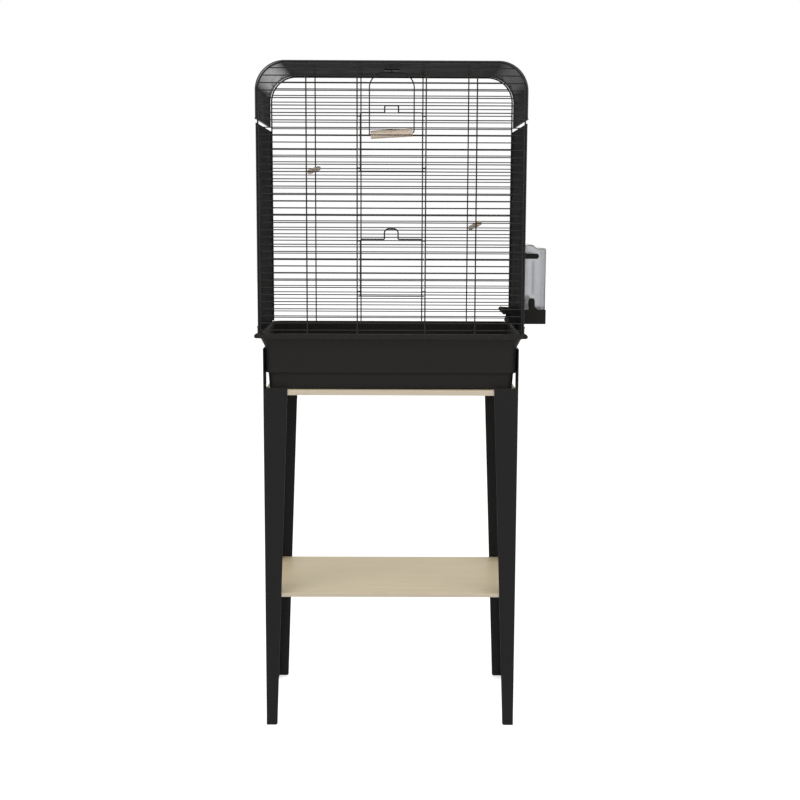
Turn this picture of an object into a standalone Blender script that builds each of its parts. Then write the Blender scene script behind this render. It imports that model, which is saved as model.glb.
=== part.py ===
"""Bird cage with an arched roof on a stand of four tapered legs and two boards.

The cage has two sliding wire doors, a swing, two perches, four latches that hold it to its deep
base, and a feeder whose clear hopper lifts out of its trough. Every length is in metres. The stand
is centred on X and Y, its front faces -Y, and a datum empty carries it all so that the model's
origin lies on the floor under the middle of its outline.
"""

import math

import bmesh
import bpy
from mathutils import Matrix, Vector

PARTS_NAME = "bird_cage_with_stand"
CUTTERS_NAME = "cutters"

# Gaps between pieces
FIT = 0.0003
SLIDE_GAP = 0.0004
MERGE = 0.00001

# Stand
LEG_INSET_X = 0.0081
LEG_INSET_Y = 0.0070
LEG_SHEET = 0.0018
LEG_FOOT_WIDTH = 0.0213
LEG_TOP_WIDTH = 0.0465
LEG_FOOT_ROUND = 0.0040
LEG_LIP_RISE = 0.0040
LEG_TAB_RISE = 0.0790
LEG_TAB_ROUND = 0.0120
BOARD_TOP = 0.6680
BOARD_THICK = 0.0103
SHELF_TOP = 0.2670
SHELF_THICK = 0.0070
BOARD_EDGE_ROUND = 0.0008
SUPPORT_REACH = 0.0270
SCREW_INSET = 0.0110
SCREW_RADIUS = 0.0019
SCREW_HEAD_RADIUS = 0.0036
SCREW_HEAD_HEIGHT = 0.0022
SCREW_BITE = 0.0050

# Base tub
RIM_MARGIN = 0.0006
TUB_HEIGHT = 0.1077
TUB_WALL = 0.0025
TUB_CORNER = 0.0220
RIM_LIP_HEIGHT = 0.0100
RIM_LEDGE = 0.0035
SHOULDER_INSET = 0.0108
SHOULDER_DROP = 0.0260
TUB_DRAFT = 0.0004
FOOT_HEIGHT = 0.0315
FOOT_STEP = 0.0062
FOOT_DRAFT = 0.0016

# Cage shell
CAGE_WIDTH = 0.5028
CAGE_DEPTH = 0.2800
CAGE_HEIGHT = 0.5054
SHELL = 0.0020
ROOF_ROUND = 0.0550
ROOF_OVERHANG = 0.0008
ROOF_LIP = 0.0008
ROOF_LIP_HEIGHT = 0.0040
SIDE_HEIGHT = 0.3917
VENT_GAP = 0.0065

# Wire panels
ROW_WIRE = 0.0022
POST_WIRE = 0.0026
FRAME_WIRE = 0.0030
ROW_PITCH = 0.01346
TOP_ROW_DROP = 0.0138
BOTTOM_ROW_RISE = 0.0070
ROW_INSET = 0.0040
WELD_SHARE = 0.85
DOOR_POST_GAP = 0.0063
OUTER_POST_INSET = 0.0933

# Sliding doors
DOOR_WIDTH = 0.1150
DOOR_HEIGHT = 0.1077
DOOR_CORNER = 0.0035
DOOR_SIDE_PLAY = 0.0006
HANDLE_WIDTH = 0.0255
UPPER_DOOR_TOP = 1.1868
UPPER_DOOR_DROP = 0.0000
UPPER_HANDLE_HEIGHT = 0.0128
UPPER_HANDLE_ROUND = 0.0030
LOWER_DOOR_TOP = 0.9580
LOWER_DOOR_DROP = 0.0035
LOWER_HANDLE_HEIGHT = 0.0195
LOWER_HANDLE_ROUND = 0.0080
KEEPER_WIRE = 0.0016
KEEPER_MARGIN = 0.0070
KEEPER_RAISE = 0.0400

# Swing and perches
SWING_WIDTH = 0.0875
SWING_DROP = 0.1160
SWING_WIRE = 0.0024
SWING_SHOULDER = 0.0280
SWING_DOWEL = 0.0160
SWING_TILT = math.radians(3.5)
SWING_PIN = 0.0090
HANGER_PLATE = 0.0020
HANGER_LENGTH = 0.0300
HANGER_WIDTH = 0.0120
HANGER_WIRE = 0.0020
HANGER_RING = 0.0032
PERCH_DOWEL = 0.0095
PERCH_NOTCH_PLAY = 0.0003
PERCH_SHELF = 0.0030
LEFT_PERCH_Z = 1.0792
RIGHT_PERCH_Z = 0.9849

# Latches
LATCH_INSET = 0.0300
LATCH_WIDTH = 0.0160
LATCH_BARREL = 0.0040
LATCH_PIN = 0.0012
LATCH_PIN_PLAY = 0.00012
LATCH_REACH = 0.0050
LATCH_DROP = 0.0065
LATCH_HEIGHT = 0.0185
LATCH_LEVER = 0.0022
LUG_THICK = 0.0020

# Feeder
FEEDER_WIDTH = 0.0840
FEEDER_WALL = 0.0020
TROUGH_REACH = 0.0522
TROUGH_HEIGHT = 0.0280
TROUGH_RISE = 0.0110
TROUGH_NOSE = 0.0204
TROUGH_SLANT = 0.0087
TROUGH_LIP = 0.0100
TROUGH_HEADER = 0.0021
LUG_ROUND = 0.0066
LUG_RISE = 0.0230
LUG_X = 0.0242
HOPPER_HEIGHT = 0.1200
HOPPER_PEAK = 0.0075
HOPPER_PEAK_X = 0.0225
HOPPER_SHOULDER_X = 0.0315
HOPPER_WALL = 0.0018
HOPPER_SKIRT = 0.0050
HOPPER_SETBACK = 0.0014
CLIP_HEIGHT = 0.0100
CLIP_ARM = 0.0370
CLIP_THICK = 0.0024
CLIP_Z = 0.9200
FEED_PERCH_RADIUS = 0.0045
FEED_PERCH_NECK = 0.0022
FEED_PERCH_END = 0.0040
FEED_PERCH_REACH = 0.0293

# Colours and finishes: base colour, roughness, metallic, transmission
FINISHES = {
    "black_shell": ((0.018, 0.018, 0.019), 0.28, 0.0, 0.0),
    "black_moulding": ((0.020, 0.020, 0.021), 0.42, 0.0, 0.0),
    "black_paint": ((0.019, 0.019, 0.020), 0.50, 0.0, 0.0),
    "dark_wire": ((0.045, 0.032, 0.026), 0.38, 0.6, 0.0),
    "pale_board": ((0.565, 0.479, 0.332), 0.55, 0.0, 0.0),
    "turned_wood": ((0.480, 0.330, 0.200), 0.60, 0.0, 0.0),
    "smoke_clear": ((0.620, 0.640, 0.650), 0.12, 0.0, 0.9),
    "bright_screw": ((0.560, 0.560, 0.560), 0.30, 1.0, 0.0),
}

# Widths that follow from the cage's
RIM_WIDTH = CAGE_WIDTH + 2 * RIM_MARGIN
LEG_SPAN_X = CAGE_WIDTH - 2 * LEG_INSET_X
LEG_SPAN_Y = CAGE_DEPTH - 2 * LEG_INSET_Y
INNER_POST_X = DOOR_WIDTH / 2 + DOOR_POST_GAP
OUTER_POST_X = CAGE_WIDTH / 2 - OUTER_POST_INSET
LATCH_Y = CAGE_DEPTH / 2 - LATCH_INSET

# Heights that follow from the stack of pieces
TUB_BOTTOM = BOARD_TOP + FIT
RIM_TOP = TUB_BOTTOM + TUB_HEIGHT
CAGE_TOP = RIM_TOP + CAGE_HEIGHT
SIDE_BOTTOM = RIM_TOP + FIT
SIDE_TOP = SIDE_BOTTOM + SIDE_HEIGHT
ROOF_BOTTOM = SIDE_TOP + VENT_GAP
LEG_LIP_TOP = BOARD_TOP + LEG_LIP_RISE
LEG_TAB_TOP = BOARD_TOP + LEG_TAB_RISE
ROOF_UNDERSIDE = CAGE_TOP - SHELL

# Layers of the wire panels, as distances from the middle of the cage
ROW_Y = CAGE_DEPTH / 2 - ROW_INSET
POST_Y = ROW_Y + WELD_SHARE * (ROW_WIRE + POST_WIRE) / 2
DOOR_ROW_Y = ROW_Y + ROW_WIRE + SLIDE_GAP
DOOR_FRAME_Y = DOOR_ROW_Y + WELD_SHARE * (ROW_WIRE + POST_WIRE) / 2
KEEPER_Y = DOOR_FRAME_Y + (POST_WIRE + KEEPER_WIRE) / 2 + SLIDE_GAP

# Rows of wire, from the top down
TOP_ROW_Z = CAGE_TOP - TOP_ROW_DROP
BOTTOM_ROW_Z = RIM_TOP + BOTTOM_ROW_RISE
ROW_COUNT = round((TOP_ROW_Z - BOTTOM_ROW_Z) / ROW_PITCH) + 1
ROW_STEP = (TOP_ROW_Z - BOTTOM_ROW_Z) / (ROW_COUNT - 1)

# Frame wire that lines the roof
FRAME_HALF = CAGE_WIDTH / 2 - SHELL - FIT - FRAME_WIRE / 2
FRAME_TOP = ROOF_UNDERSIDE - FIT - FRAME_WIRE / 2
FRAME_ROUND = ROOF_ROUND - SHELL - FIT - FRAME_WIRE / 2

# Latch pivots
LATCH_X = RIM_WIDTH / 2 + LATCH_REACH
LATCH_Z = RIM_TOP - LATCH_DROP

# Feeder places, from the outer face of the right side panel
WALL_X = CAGE_WIDTH / 2
TROUGH_X = WALL_X + TROUGH_REACH
TROUGH_BOTTOM = RIM_TOP + TROUGH_RISE
TROUGH_TOP = TROUGH_BOTTOM + TROUGH_HEIGHT
HOPPER_BOTTOM = TROUGH_TOP + FIT
HOPPER_INNER_X = WALL_X + HOPPER_SETBACK
HOPPER_OUTER_X = TROUGH_X - HOPPER_SETBACK
HOPPER_HALF_Y = FEEDER_WIDTH / 2 - FEEDER_WALL - SLIDE_GAP
FEED_PERCH_X = WALL_X - FEED_PERCH_REACH
FEED_PERCH_Z = TROUGH_TOP - FEED_PERCH_RADIUS

# Swing pivot, just under the roof
RING_Z = ROOF_UNDERSIDE - FIT - HANGER_PLATE - HANGER_RING - HANGER_WIRE / 4
SWING_Z = RING_Z - (HANGER_RING - HANGER_WIRE / 2 - SWING_WIRE / 2 - FIT)

# The outline's middle, which the datum moves to the origin
REACH_LEFT = LATCH_X + LATCH_BARREL
REACH_FRONT = KEEPER_Y + KEEPER_WIRE / 2
DATUM = Vector(((REACH_LEFT - TROUGH_X) / 2, (REACH_FRONT - CAGE_DEPTH / 2) / 2, 0.0))


def clear_scene():
    """Removes whatever the scene holds, so that the script can run again."""
    for item in list(bpy.data.objects):
        bpy.data.objects.remove(item, do_unlink=True)


def new_collection(name):
    found = bpy.data.collections.get(name) or bpy.data.collections.new(name)
    if name not in bpy.context.scene.collection.children:
        bpy.context.scene.collection.children.link(found)
    return found


clear_scene()
PARTS = new_collection(PARTS_NAME)
CUTTERS = new_collection(CUTTERS_NAME)
DATUM_EMPTY = bpy.data.objects.new("datum", None)
DATUM_EMPTY.location = DATUM
PARTS.objects.link(DATUM_EMPTY)


def finish(name):
    """A Principled material in one of the part's finishes."""
    material = bpy.data.materials.get(name)
    if material:
        return material
    colour, roughness, metallic, transmission = FINISHES[name]
    material = bpy.data.materials.new(name)
    material.use_nodes = True
    shader = material.node_tree.nodes["Principled BSDF"]
    shader.inputs["Base Color"].default_value = (*colour, 1.0)
    shader.inputs["Roughness"].default_value = roughness
    shader.inputs["Metallic"].default_value = metallic
    shader.inputs["Transmission Weight"].default_value = transmission
    return material


def as_part(mesh, name, finish_name, pivot=(0.0, 0.0, 0.0), smooth=None):
    """A named piece whose origin is its pivot, carried by the datum."""
    mesh.name = name
    mesh.transform(Matrix.Translation(-Vector(pivot)))
    item = bpy.data.objects.new(name, mesh)
    item.location = pivot
    PARTS.objects.link(item)
    item.parent = DATUM_EMPTY
    mesh.materials.clear()
    mesh.materials.append(finish(finish_name))
    if smooth is not None:
        mesh.shade_smooth()
        mesh.set_sharp_from_angle(angle=math.radians(smooth))
    return item


def boolean(item, other, operation):
    modifier = item.modifiers.new(operation.lower(), "BOOLEAN")
    modifier.operation = operation
    modifier.object = other
    modifier.solver = "EXACT"


def evaluated_mesh(item):
    """The mesh that an object's modifiers make, with its own matrix left out."""
    bpy.context.view_layer.update()
    graph = bpy.context.evaluated_depsgraph_get()
    return bpy.data.meshes.new_from_object(item.evaluated_get(graph))


def joined(name, base, unions=(), cuts=()):
    """One closed mesh from a base mesh, what is joined to it and what is cut from it."""
    item = bpy.data.objects.new(name, base)
    bpy.context.scene.collection.objects.link(item)
    helpers = []
    for operation, meshes in (("UNION", unions), ("DIFFERENCE", cuts)):
        for mesh in meshes:
            helper = bpy.data.objects.new(name + "_tool", mesh)
            bpy.context.scene.collection.objects.link(helper)
            boolean(item, helper, operation)
            helpers.append(helper)
    result = evaluated_mesh(item)
    for used in [item, *helpers]:
        bpy.data.objects.remove(used, do_unlink=True)
    return result


def mesh_from(bm, name="shape"):
    bmesh.ops.recalc_face_normals(bm, faces=bm.faces)
    mesh = bpy.data.meshes.new(name)
    bm.to_mesh(mesh)
    bm.free()
    return mesh


def merged(meshes):
    """Separate closed shapes in one mesh, for a Boolean that takes them together."""
    bm = bmesh.new()
    for mesh in meshes:
        bm.from_mesh(mesh)
    return mesh_from(bm)


def box(low, high):
    bm = bmesh.new()
    bmesh.ops.create_cube(bm, size=1.0)
    size = Vector(high) - Vector(low)
    bmesh.ops.scale(bm, vec=size, verts=bm.verts)
    bmesh.ops.translate(bm, vec=Vector(low) + size / 2, verts=bm.verts)
    return mesh_from(bm)


def rod(radius, start, end, segments=12):
    """A solid cylinder between two points."""
    axis = Vector(end) - Vector(start)
    bm = bmesh.new()
    bmesh.ops.create_cone(
        bm, cap_ends=True, segments=segments, radius1=radius, radius2=radius, depth=axis.length
    )
    turn = Vector((0.0, 0.0, 1.0)).rotation_difference(axis).to_matrix().to_4x4()
    middle = Matrix.Translation((Vector(start) + Vector(end)) / 2)
    bmesh.ops.transform(bm, matrix=middle @ turn, verts=bm.verts)
    return mesh_from(bm)


def wires(paths, diameter, resolution=1):
    """Round wires along polylines, each one closed at its ends, as one mesh."""
    curve = bpy.data.curves.new("wires", "CURVE")
    curve.dimensions = "3D"
    curve.bevel_depth = diameter / 2
    curve.bevel_resolution = resolution
    curve.render_resolution_u = 0
    curve.use_fill_caps = True
    for path in paths:
        spline = curve.splines.new("POLY")
        spline.points.add(len(path) - 1)
        for point, place in zip(spline.points, path):
            point.co = (*place, 1.0)
    item = bpy.data.objects.new("wires", curve)
    bpy.context.scene.collection.objects.link(item)
    mesh = evaluated_mesh(item)
    bpy.data.objects.remove(item, do_unlink=True)
    bpy.data.curves.remove(curve)
    bm = bmesh.new()
    bm.from_mesh(mesh)
    bmesh.ops.remove_doubles(bm, verts=bm.verts, dist=MERGE)
    return mesh_from(bm)


def plate(outline, thickness, plane):
    """A flat outline as a filled 2D curve, extruded about its plane: xz, yz or xy."""
    curve = bpy.data.curves.new("plate", "CURVE")
    curve.dimensions = "2D"
    curve.fill_mode = "BOTH"
    curve.extrude = thickness / 2
    curve.render_resolution_u = 0
    spline = curve.splines.new("POLY")
    spline.points.add(len(outline) - 1)
    for point, place in zip(spline.points, outline):
        point.co = (place[0], place[1], 0.0, 1.0)
    spline.use_cyclic_u = True
    item = bpy.data.objects.new("plate", curve)
    bpy.context.scene.collection.objects.link(item)
    mesh = evaluated_mesh(item)
    bpy.data.objects.remove(item, do_unlink=True)
    bpy.data.curves.remove(curve)
    turns = {
        "xy": Matrix.Identity(4),
        "xz": Matrix.Rotation(math.pi / 2, 4, "X"),
        "yz": Matrix.Rotation(math.pi / 2, 4, "Z") @ Matrix.Rotation(math.pi / 2, 4, "X"),
    }
    bm = bmesh.new()
    bm.from_mesh(mesh)
    bmesh.ops.remove_doubles(bm, verts=bm.verts, dist=MERGE)
    bmesh.ops.transform(bm, matrix=turns[plane], verts=bm.verts)
    return mesh_from(bm)


def moved(mesh, offset):
    mesh.transform(Matrix.Translation(Vector(offset)))
    return mesh


def mirrored(mesh, side_x, side_y=1):
    """A copy of a mesh on another side of the cage, its faces still pointing out."""
    copy = mesh.copy()
    copy.transform(Matrix.Diagonal((side_x, side_y, 1.0, 1.0)))
    if side_x * side_y < 0:
        copy.flip_normals()
    return copy


def turned(profile, segments=16):
    """A solid of revolution about Z from a profile that runs down its outer side."""
    mesh = bpy.data.meshes.new("turned")
    points = [(radius, 0.0, height) for radius, height in profile]
    mesh.from_pydata(points, [(i, i + 1) for i in range(len(points) - 1)], [])
    item = bpy.data.objects.new("turned", mesh)
    bpy.context.scene.collection.objects.link(item)
    screw = item.modifiers.new("turn", "SCREW")
    screw.steps = segments
    screw.render_steps = segments
    screw.use_merge_vertices = True
    screw.merge_threshold = MERGE
    result = evaluated_mesh(item)
    bpy.data.objects.remove(item, do_unlink=True)
    bm = bmesh.new()
    bm.from_mesh(result)
    bmesh.ops.remove_doubles(bm, verts=bm.verts, dist=MERGE)
    return mesh_from(bm)


def rounded(corners, steps=4):
    """A polygon with each corner (x, y, radius) rounded, as points."""
    outline = []
    count = len(corners)
    for i, (x, y, radius) in enumerate(corners):
        here = Vector((x, y))
        if radius <= 0.0:
            outline.append((x, y))
            continue
        back = (Vector(corners[i - 1][:2]) - here).normalized()
        ahead = (Vector(corners[(i + 1) % count][:2]) - here).normalized()
        half = back.angle(ahead) / 2
        reach = radius / math.tan(half)
        centre = here + (back + ahead).normalized() * (radius / math.sin(half))
        first = here + back * reach - centre
        last = here + ahead * reach - centre
        sweep = first.angle_signed(last)
        for step in range(steps + 1):
            turn = Matrix.Rotation(-sweep * step / steps, 2)
            outline.append(tuple(centre + turn @ first))
    return outline


def bent(corners, steps=4):
    """A bent wire's points in the plane X, Z, with each inner corner (x, z, radius) rounded."""
    closed = rounded([(*corners[0][:2], 0.0), *corners[1:-1], (*corners[-1][:2], 0.0)], steps)
    return closed


def ring(bm, half_x, half_y, corner, height, steps=5):
    """One level of a rounded rectangle, as vertices in order."""
    corner = max(corner, 0.001)
    corners = [
        (half_x, -half_y, corner),
        (half_x, half_y, corner),
        (-half_x, half_y, corner),
        (-half_x, -half_y, corner),
    ]
    return [bm.verts.new((x, y, height)) for x, y in rounded(corners, steps)]


def bridge(bm, lower, upper):
    """Walls between two rings of vertices."""
    for i in range(len(lower)):
        j = (i + 1) % len(lower)
        bm.faces.new((lower[i], lower[j], upper[j], upper[i]))


def lofted(levels, steps=5):
    """A moulded shell: rounded rectangles (half x, half y, corner, height) joined in a row."""
    bm = bmesh.new()
    rings = [ring(bm, *level, steps) for level in levels]
    for lower, upper in zip(rings, rings[1:]):
        bridge(bm, lower, upper)
    bm.faces.new(rings[0])
    bm.faces.new(rings[-1])
    return mesh_from(bm)


def leg_mesh():
    """The leg at +X, +Y: two tapered flanges of folded sheet, with two support tabs."""
    out_x = LEG_SPAN_X / 2
    out_y = LEG_SPAN_Y / 2
    sheet = LEG_SHEET
    bm = bmesh.new()
    rings = []
    for width, height in ((LEG_FOOT_WIDTH, 0.0), (LEG_TOP_WIDTH, LEG_LIP_TOP)):
        corners = [
            (0.0, 0.0),
            (-sheet, 0.0),
            (-width, 0.0),
            (-width, -sheet),
            (-sheet, -sheet),
            (-sheet, -width),
            (0.0, -width),
        ]
        rings.append([bm.verts.new((out_x + x, out_y + y, height)) for x, y in corners])
    foot, top = rings
    bridge(bm, foot, top)
    bm.faces.new(foot)
    bm.faces.new(top[1:5])
    root_ring = [top[0], top[1], top[4], top[5], top[6]]
    end_ring = [bm.verts.new((vert.co.x, vert.co.y, LEG_TAB_TOP)) for vert in root_ring]
    bridge(bm, root_ring, end_ring)
    bm.faces.new(end_ring)
    rounds = (
        (foot[2], foot[3], LEG_FOOT_ROUND),
        (foot[5], foot[6], LEG_FOOT_ROUND),
        (end_ring[3], end_ring[4], LEG_TAB_ROUND),
    )
    for first, last, radius in rounds:
        bmesh.ops.bevel(
            bm,
            geom=[bm.edges.get((first, last))],
            offset=radius,
            offset_type="OFFSET",
            segments=4,
            profile=0.5,
            affect="EDGES",
            material=-1,
        )
    angle = mesh_from(bm)
    tabs = []
    holes = []
    root = LEG_SHEET / 2
    for under in (BOARD_TOP - BOARD_THICK, SHELF_TOP - SHELF_THICK):
        top = under - FIT
        tab = [
            (out_x - root, out_y - root, 0.0),
            (out_x - LEG_SHEET - SUPPORT_REACH, out_y - root, 0.0),
            (out_x - root, out_y - LEG_SHEET - SUPPORT_REACH, 0.0),
        ]
        tabs.append(moved(plate(rounded(tab), LEG_SHEET, "xy"), (0.0, 0.0, top - LEG_SHEET / 2)))
        x = out_x - LEG_SHEET - SCREW_INSET
        y = out_y - LEG_SHEET - SCREW_INSET
        hole = SCREW_RADIUS + FIT
        holes.append(rod(hole, (x, y, top - 2 * LEG_SHEET), (x, y, top + LEG_SHEET), 8))
    return joined("leg", angle, [merged(tabs)], [merged(holes)])


def board(name, top, thick):
    """A board between the legs, drilled from below for its four screws."""
    half_x = LEG_SPAN_X / 2 - LEG_SHEET - FIT
    half_y = LEG_SPAN_Y / 2 - LEG_SHEET - FIT
    bm = bmesh.new()
    bm.from_mesh(box((-half_x, -half_y, top - thick), (half_x, half_y, top)))
    bmesh.ops.bevel(
        bm,
        geom=list(bm.edges),
        offset=BOARD_EDGE_ROUND,
        offset_type="OFFSET",
        segments=1,
        profile=0.5,
        affect="EDGES",
        material=-1,
    )
    holes = []
    for x, y in screw_places():
        bottom = top - thick
        radius = SCREW_RADIUS + FIT
        holes.append(rod(radius, (x, y, bottom - FIT), (x, y, bottom + SCREW_BITE + FIT), 8))
    return as_part(joined(name, mesh_from(bm), cuts=[merged(holes)]), name, "pale_board")


def screw_places():
    x = LEG_SPAN_X / 2 - LEG_SHEET - SCREW_INSET
    y = LEG_SPAN_Y / 2 - LEG_SHEET - SCREW_INSET
    return [(-x, -y), (x, -y), (-x, y), (x, y)]


CORNERS = ("front_left", "front_right", "rear_left", "rear_right")
SIDES = ((-1, -1), (1, -1), (-1, 1), (1, 1))


def build_stand():
    leg = leg_mesh()
    for corner, (side_x, side_y) in zip(CORNERS, SIDES):
        as_part(mirrored(leg, side_x, side_y), "leg_" + corner, "black_paint", smooth=30)
    board("upper_board", BOARD_TOP, BOARD_THICK)
    board("lower_shelf", SHELF_TOP, SHELF_THICK)
    head = SCREW_HEAD_HEIGHT
    profile = [
        (0.0, LEG_SHEET + SCREW_BITE),
        (SCREW_RADIUS, LEG_SHEET + SCREW_BITE - SCREW_RADIUS),
        (SCREW_RADIUS, -FIT),
        (SCREW_HEAD_RADIUS, -FIT),
        (SCREW_HEAD_RADIUS * 0.7, -FIT - head),
        (0.0, -FIT - head),
    ]
    screw = turned(profile, 8)
    levels = (("board", BOARD_TOP - BOARD_THICK), ("shelf", SHELF_TOP - SHELF_THICK))
    for level, under in levels:
        for corner, (x, y) in zip(CORNERS, screw_places()):
            place = (x, y, under - FIT - LEG_SHEET)
            mesh = moved(screw.copy(), place)
            as_part(mesh, f"{level}_screw_{corner}", "bright_screw", smooth=40)


def tub_levels():
    """The tub's outline, from the middle of its bottom outside to its floor inside."""
    half_x = RIM_WIDTH / 2
    half_y = CAGE_DEPTH / 2
    step_z = TUB_BOTTOM + FOOT_HEIGHT
    lip_bottom = RIM_TOP - RIM_LIP_HEIGHT
    shoulder_z = RIM_TOP - SHOULDER_DROP
    wall = SHOULDER_INSET + TUB_DRAFT
    foot = wall + FOOT_STEP
    floor = foot + FOOT_DRAFT
    soft = 0.0030
    outside = [
        (floor + soft, TUB_BOTTOM),
        (floor, TUB_BOTTOM + soft),
        (foot, step_z - TUB_WALL),
        (wall + soft, step_z),
        (wall, step_z + soft),
        (SHOULDER_INSET, shoulder_z),
        (RIM_LEDGE, lip_bottom),
        (0.0, lip_bottom),
        (0.0, RIM_TOP - soft / 3),
        (soft / 3, RIM_TOP),
    ]
    inside = [
        (RIM_LEDGE + TUB_WALL, RIM_TOP),
        (SHOULDER_INSET + TUB_WALL, shoulder_z),
        (wall + TUB_WALL, step_z + soft),
        (wall + TUB_WALL + soft, step_z + TUB_WALL),
        (foot + TUB_WALL, step_z + TUB_WALL - soft / 3),
        (floor + TUB_WALL, TUB_BOTTOM + TUB_WALL + soft),
        (floor + TUB_WALL + soft, TUB_BOTTOM + TUB_WALL),
    ]
    return [
        (half_x - inset, half_y - inset, TUB_CORNER - inset / 2, height)
        for inset, height in outside + inside
    ]


def build_tub():
    lugs = []
    holes = []
    hinge_half = LATCH_WIDTH / 2 + FIT
    lug_radius = LATCH_BARREL
    for side_x, side_y in SIDES:
        pivot_x = side_x * LATCH_X
        root_x = side_x * (RIM_WIDTH / 2 - TUB_WALL / 2)
        for end in (-1, 1):
            y = side_y * LATCH_Y + end * (hinge_half + LUG_THICK / 2)
            outline = [(root_x, LATCH_Z - lug_radius), (root_x, LATCH_Z + lug_radius)]
            for step in range(7):
                angle = math.pi / 2 - math.pi * step / 6
                across = pivot_x + side_x * lug_radius * math.cos(angle)
                outline.append((across, LATCH_Z + lug_radius * math.sin(angle)))
            lugs.append(moved(plate(outline, LUG_THICK, "xz"), (0.0, y, 0.0)))
        reach = hinge_half + 2 * LUG_THICK
        start = (pivot_x, side_y * LATCH_Y - reach, LATCH_Z)
        end = (pivot_x, side_y * LATCH_Y + reach, LATCH_Z)
        holes.append(rod(LATCH_PIN + LATCH_PIN_PLAY, start, end, 12))
    mesh = joined("base_tub", lofted(tub_levels()), [merged(lugs)], [merged(holes)])
    as_part(mesh, "base_tub", "black_moulding", smooth=35)


def latch_mesh():
    """The latch on the +X side, about its pivot: a barrel on stub pins, and a lever with a nib."""
    half = LATCH_WIDTH / 2
    pin_end = half + FIT + LUG_THICK
    profile = [
        (0.0, pin_end),
        (LATCH_PIN, pin_end),
        (LATCH_PIN, half),
        (LATCH_BARREL, half),
        (LATCH_BARREL, -half),
        (LATCH_PIN, -half),
        (LATCH_PIN, -pin_end),
        (0.0, -pin_end),
    ]
    barrel = turned(profile, 12)
    barrel.transform(Matrix.Rotation(math.pi / 2, 4, "X"))
    wall = RIM_WIDTH / 2 + FIT - LATCH_X
    nib = CAGE_WIDTH / 2 + FIT - LATCH_X
    lever = [
        (0.0, 0.0, 0.0),
        (wall, 0.0015, 0.0),
        (wall, LATCH_DROP + 0.0030, 0.0),
        (nib, LATCH_HEIGHT - 0.0045, 0.0),
        (nib, LATCH_HEIGHT - 0.0015, 0.0),
        (wall + 0.0010, LATCH_HEIGHT, 0.0),
        (wall + LATCH_LEVER + 0.0012, LATCH_HEIGHT + 0.0010, 0.0),
        (wall + LATCH_LEVER, LATCH_HEIGHT - 0.0040, 0.0),
        (wall + LATCH_LEVER, LATCH_BARREL, 0.0),
    ]
    arm = plate(rounded(lever), LATCH_WIDTH - 2 * FIT, "xz")
    return joined("latch", barrel, [arm])


def build_latches():
    latch = latch_mesh()
    for corner, (side_x, side_y) in zip(CORNERS, SIDES):
        pivot = (side_x * LATCH_X, side_y * LATCH_Y, LATCH_Z)
        mesh = moved(mirrored(latch, side_x), pivot)
        as_part(mesh, "latch_" + corner, "black_moulding", pivot, smooth=40)


def roof_outline():
    """The roof's outer edge seen from the front, from the left lip to the right one."""
    half = CAGE_WIDTH / 2 + ROOF_OVERHANG
    lip = half + ROOF_LIP
    corners = [
        (-lip, ROOF_BOTTOM, 0.0),
        (-lip, ROOF_BOTTOM + ROOF_LIP_HEIGHT / 2, 0.0),
        (-half, ROOF_BOTTOM + ROOF_LIP_HEIGHT, 0.0),
        (-half, CAGE_TOP, ROOF_ROUND),
        (half, CAGE_TOP, ROOF_ROUND),
        (half, ROOF_BOTTOM + ROOF_LIP_HEIGHT, 0.0),
        (lip, ROOF_BOTTOM + ROOF_LIP_HEIGHT / 2, 0.0),
        (lip, ROOF_BOTTOM, 0.0),
    ]
    return rounded(corners, 12)


def build_shell():
    bm = bmesh.new()
    front = -CAGE_DEPTH / 2
    verts = [bm.verts.new((x, front, z)) for x, z in roof_outline()]
    edges = [bm.edges.new(pair) for pair in zip(verts, verts[1:])]
    swept = bmesh.ops.extrude_edge_only(bm, edges=edges)
    moving = [item for item in swept["geom"] if isinstance(item, bmesh.types.BMVert)]
    bmesh.ops.translate(bm, vec=(0.0, CAGE_DEPTH, 0.0), verts=moving)
    for face in bm.faces:
        face.normal_update()
        outward = face.calc_center_median() - Vector((0.0, 0.0, ROOF_BOTTOM))
        if face.normal.dot(Vector((outward.x, 0.0, outward.z))) < 0.0:
            face.normal_flip()
    sheet = bpy.data.meshes.new("roof_shell")
    bm.to_mesh(sheet)
    bm.free()
    roof = as_part(sheet, "roof_shell", "black_shell", smooth=35)
    solidify = roof.modifiers.new("sheet", "SOLIDIFY")
    solidify.thickness = SHELL
    solidify.offset = -1.0
    solidify.use_even_offset = True

    half = CAGE_WIDTH / 2
    back = CAGE_DEPTH / 2
    left = box((-half, -back, SIDE_BOTTOM), (-half + SHELL, back, SIDE_TOP))
    as_part(left, "side_panel_left", "black_shell")
    right = box((half - SHELL, -back, SIDE_BOTTOM), (half, back, SIDE_TOP))
    window_y = FEEDER_WIDTH / 2 + FIT
    window = box(
        (half - 2 * SHELL, -window_y, TROUGH_BOTTOM - FIT), (half + SHELL, window_y, TROUGH_TOP + FIT)
    )
    as_part(joined("side_panel_right", right, cuts=[window]), "side_panel_right", "black_shell")


def row_height(index):
    return TOP_ROW_Z - index * ROW_STEP


def nearest_row(height):
    return round((TOP_ROW_Z - height) / ROW_STEP)


def row_half_length(height):
    """How far a row reaches to each side before it meets the frame wire."""
    above = max(height - (FRAME_TOP - FRAME_ROUND), 0.0)
    return FRAME_HALF - FRAME_ROUND + math.sqrt(FRAME_ROUND**2 - above**2) - FRAME_WIRE / 6


def frame_path(y):
    foot = SIDE_BOTTOM
    corners = [
        (-FRAME_HALF, foot, 0.0),
        (-FRAME_HALF, FRAME_TOP, FRAME_ROUND),
        (FRAME_HALF, FRAME_TOP, FRAME_ROUND),
        (FRAME_HALF, foot, 0.0),
    ]
    return [(x, y, z) for x, z in rounded(corners, 8)]


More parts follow.
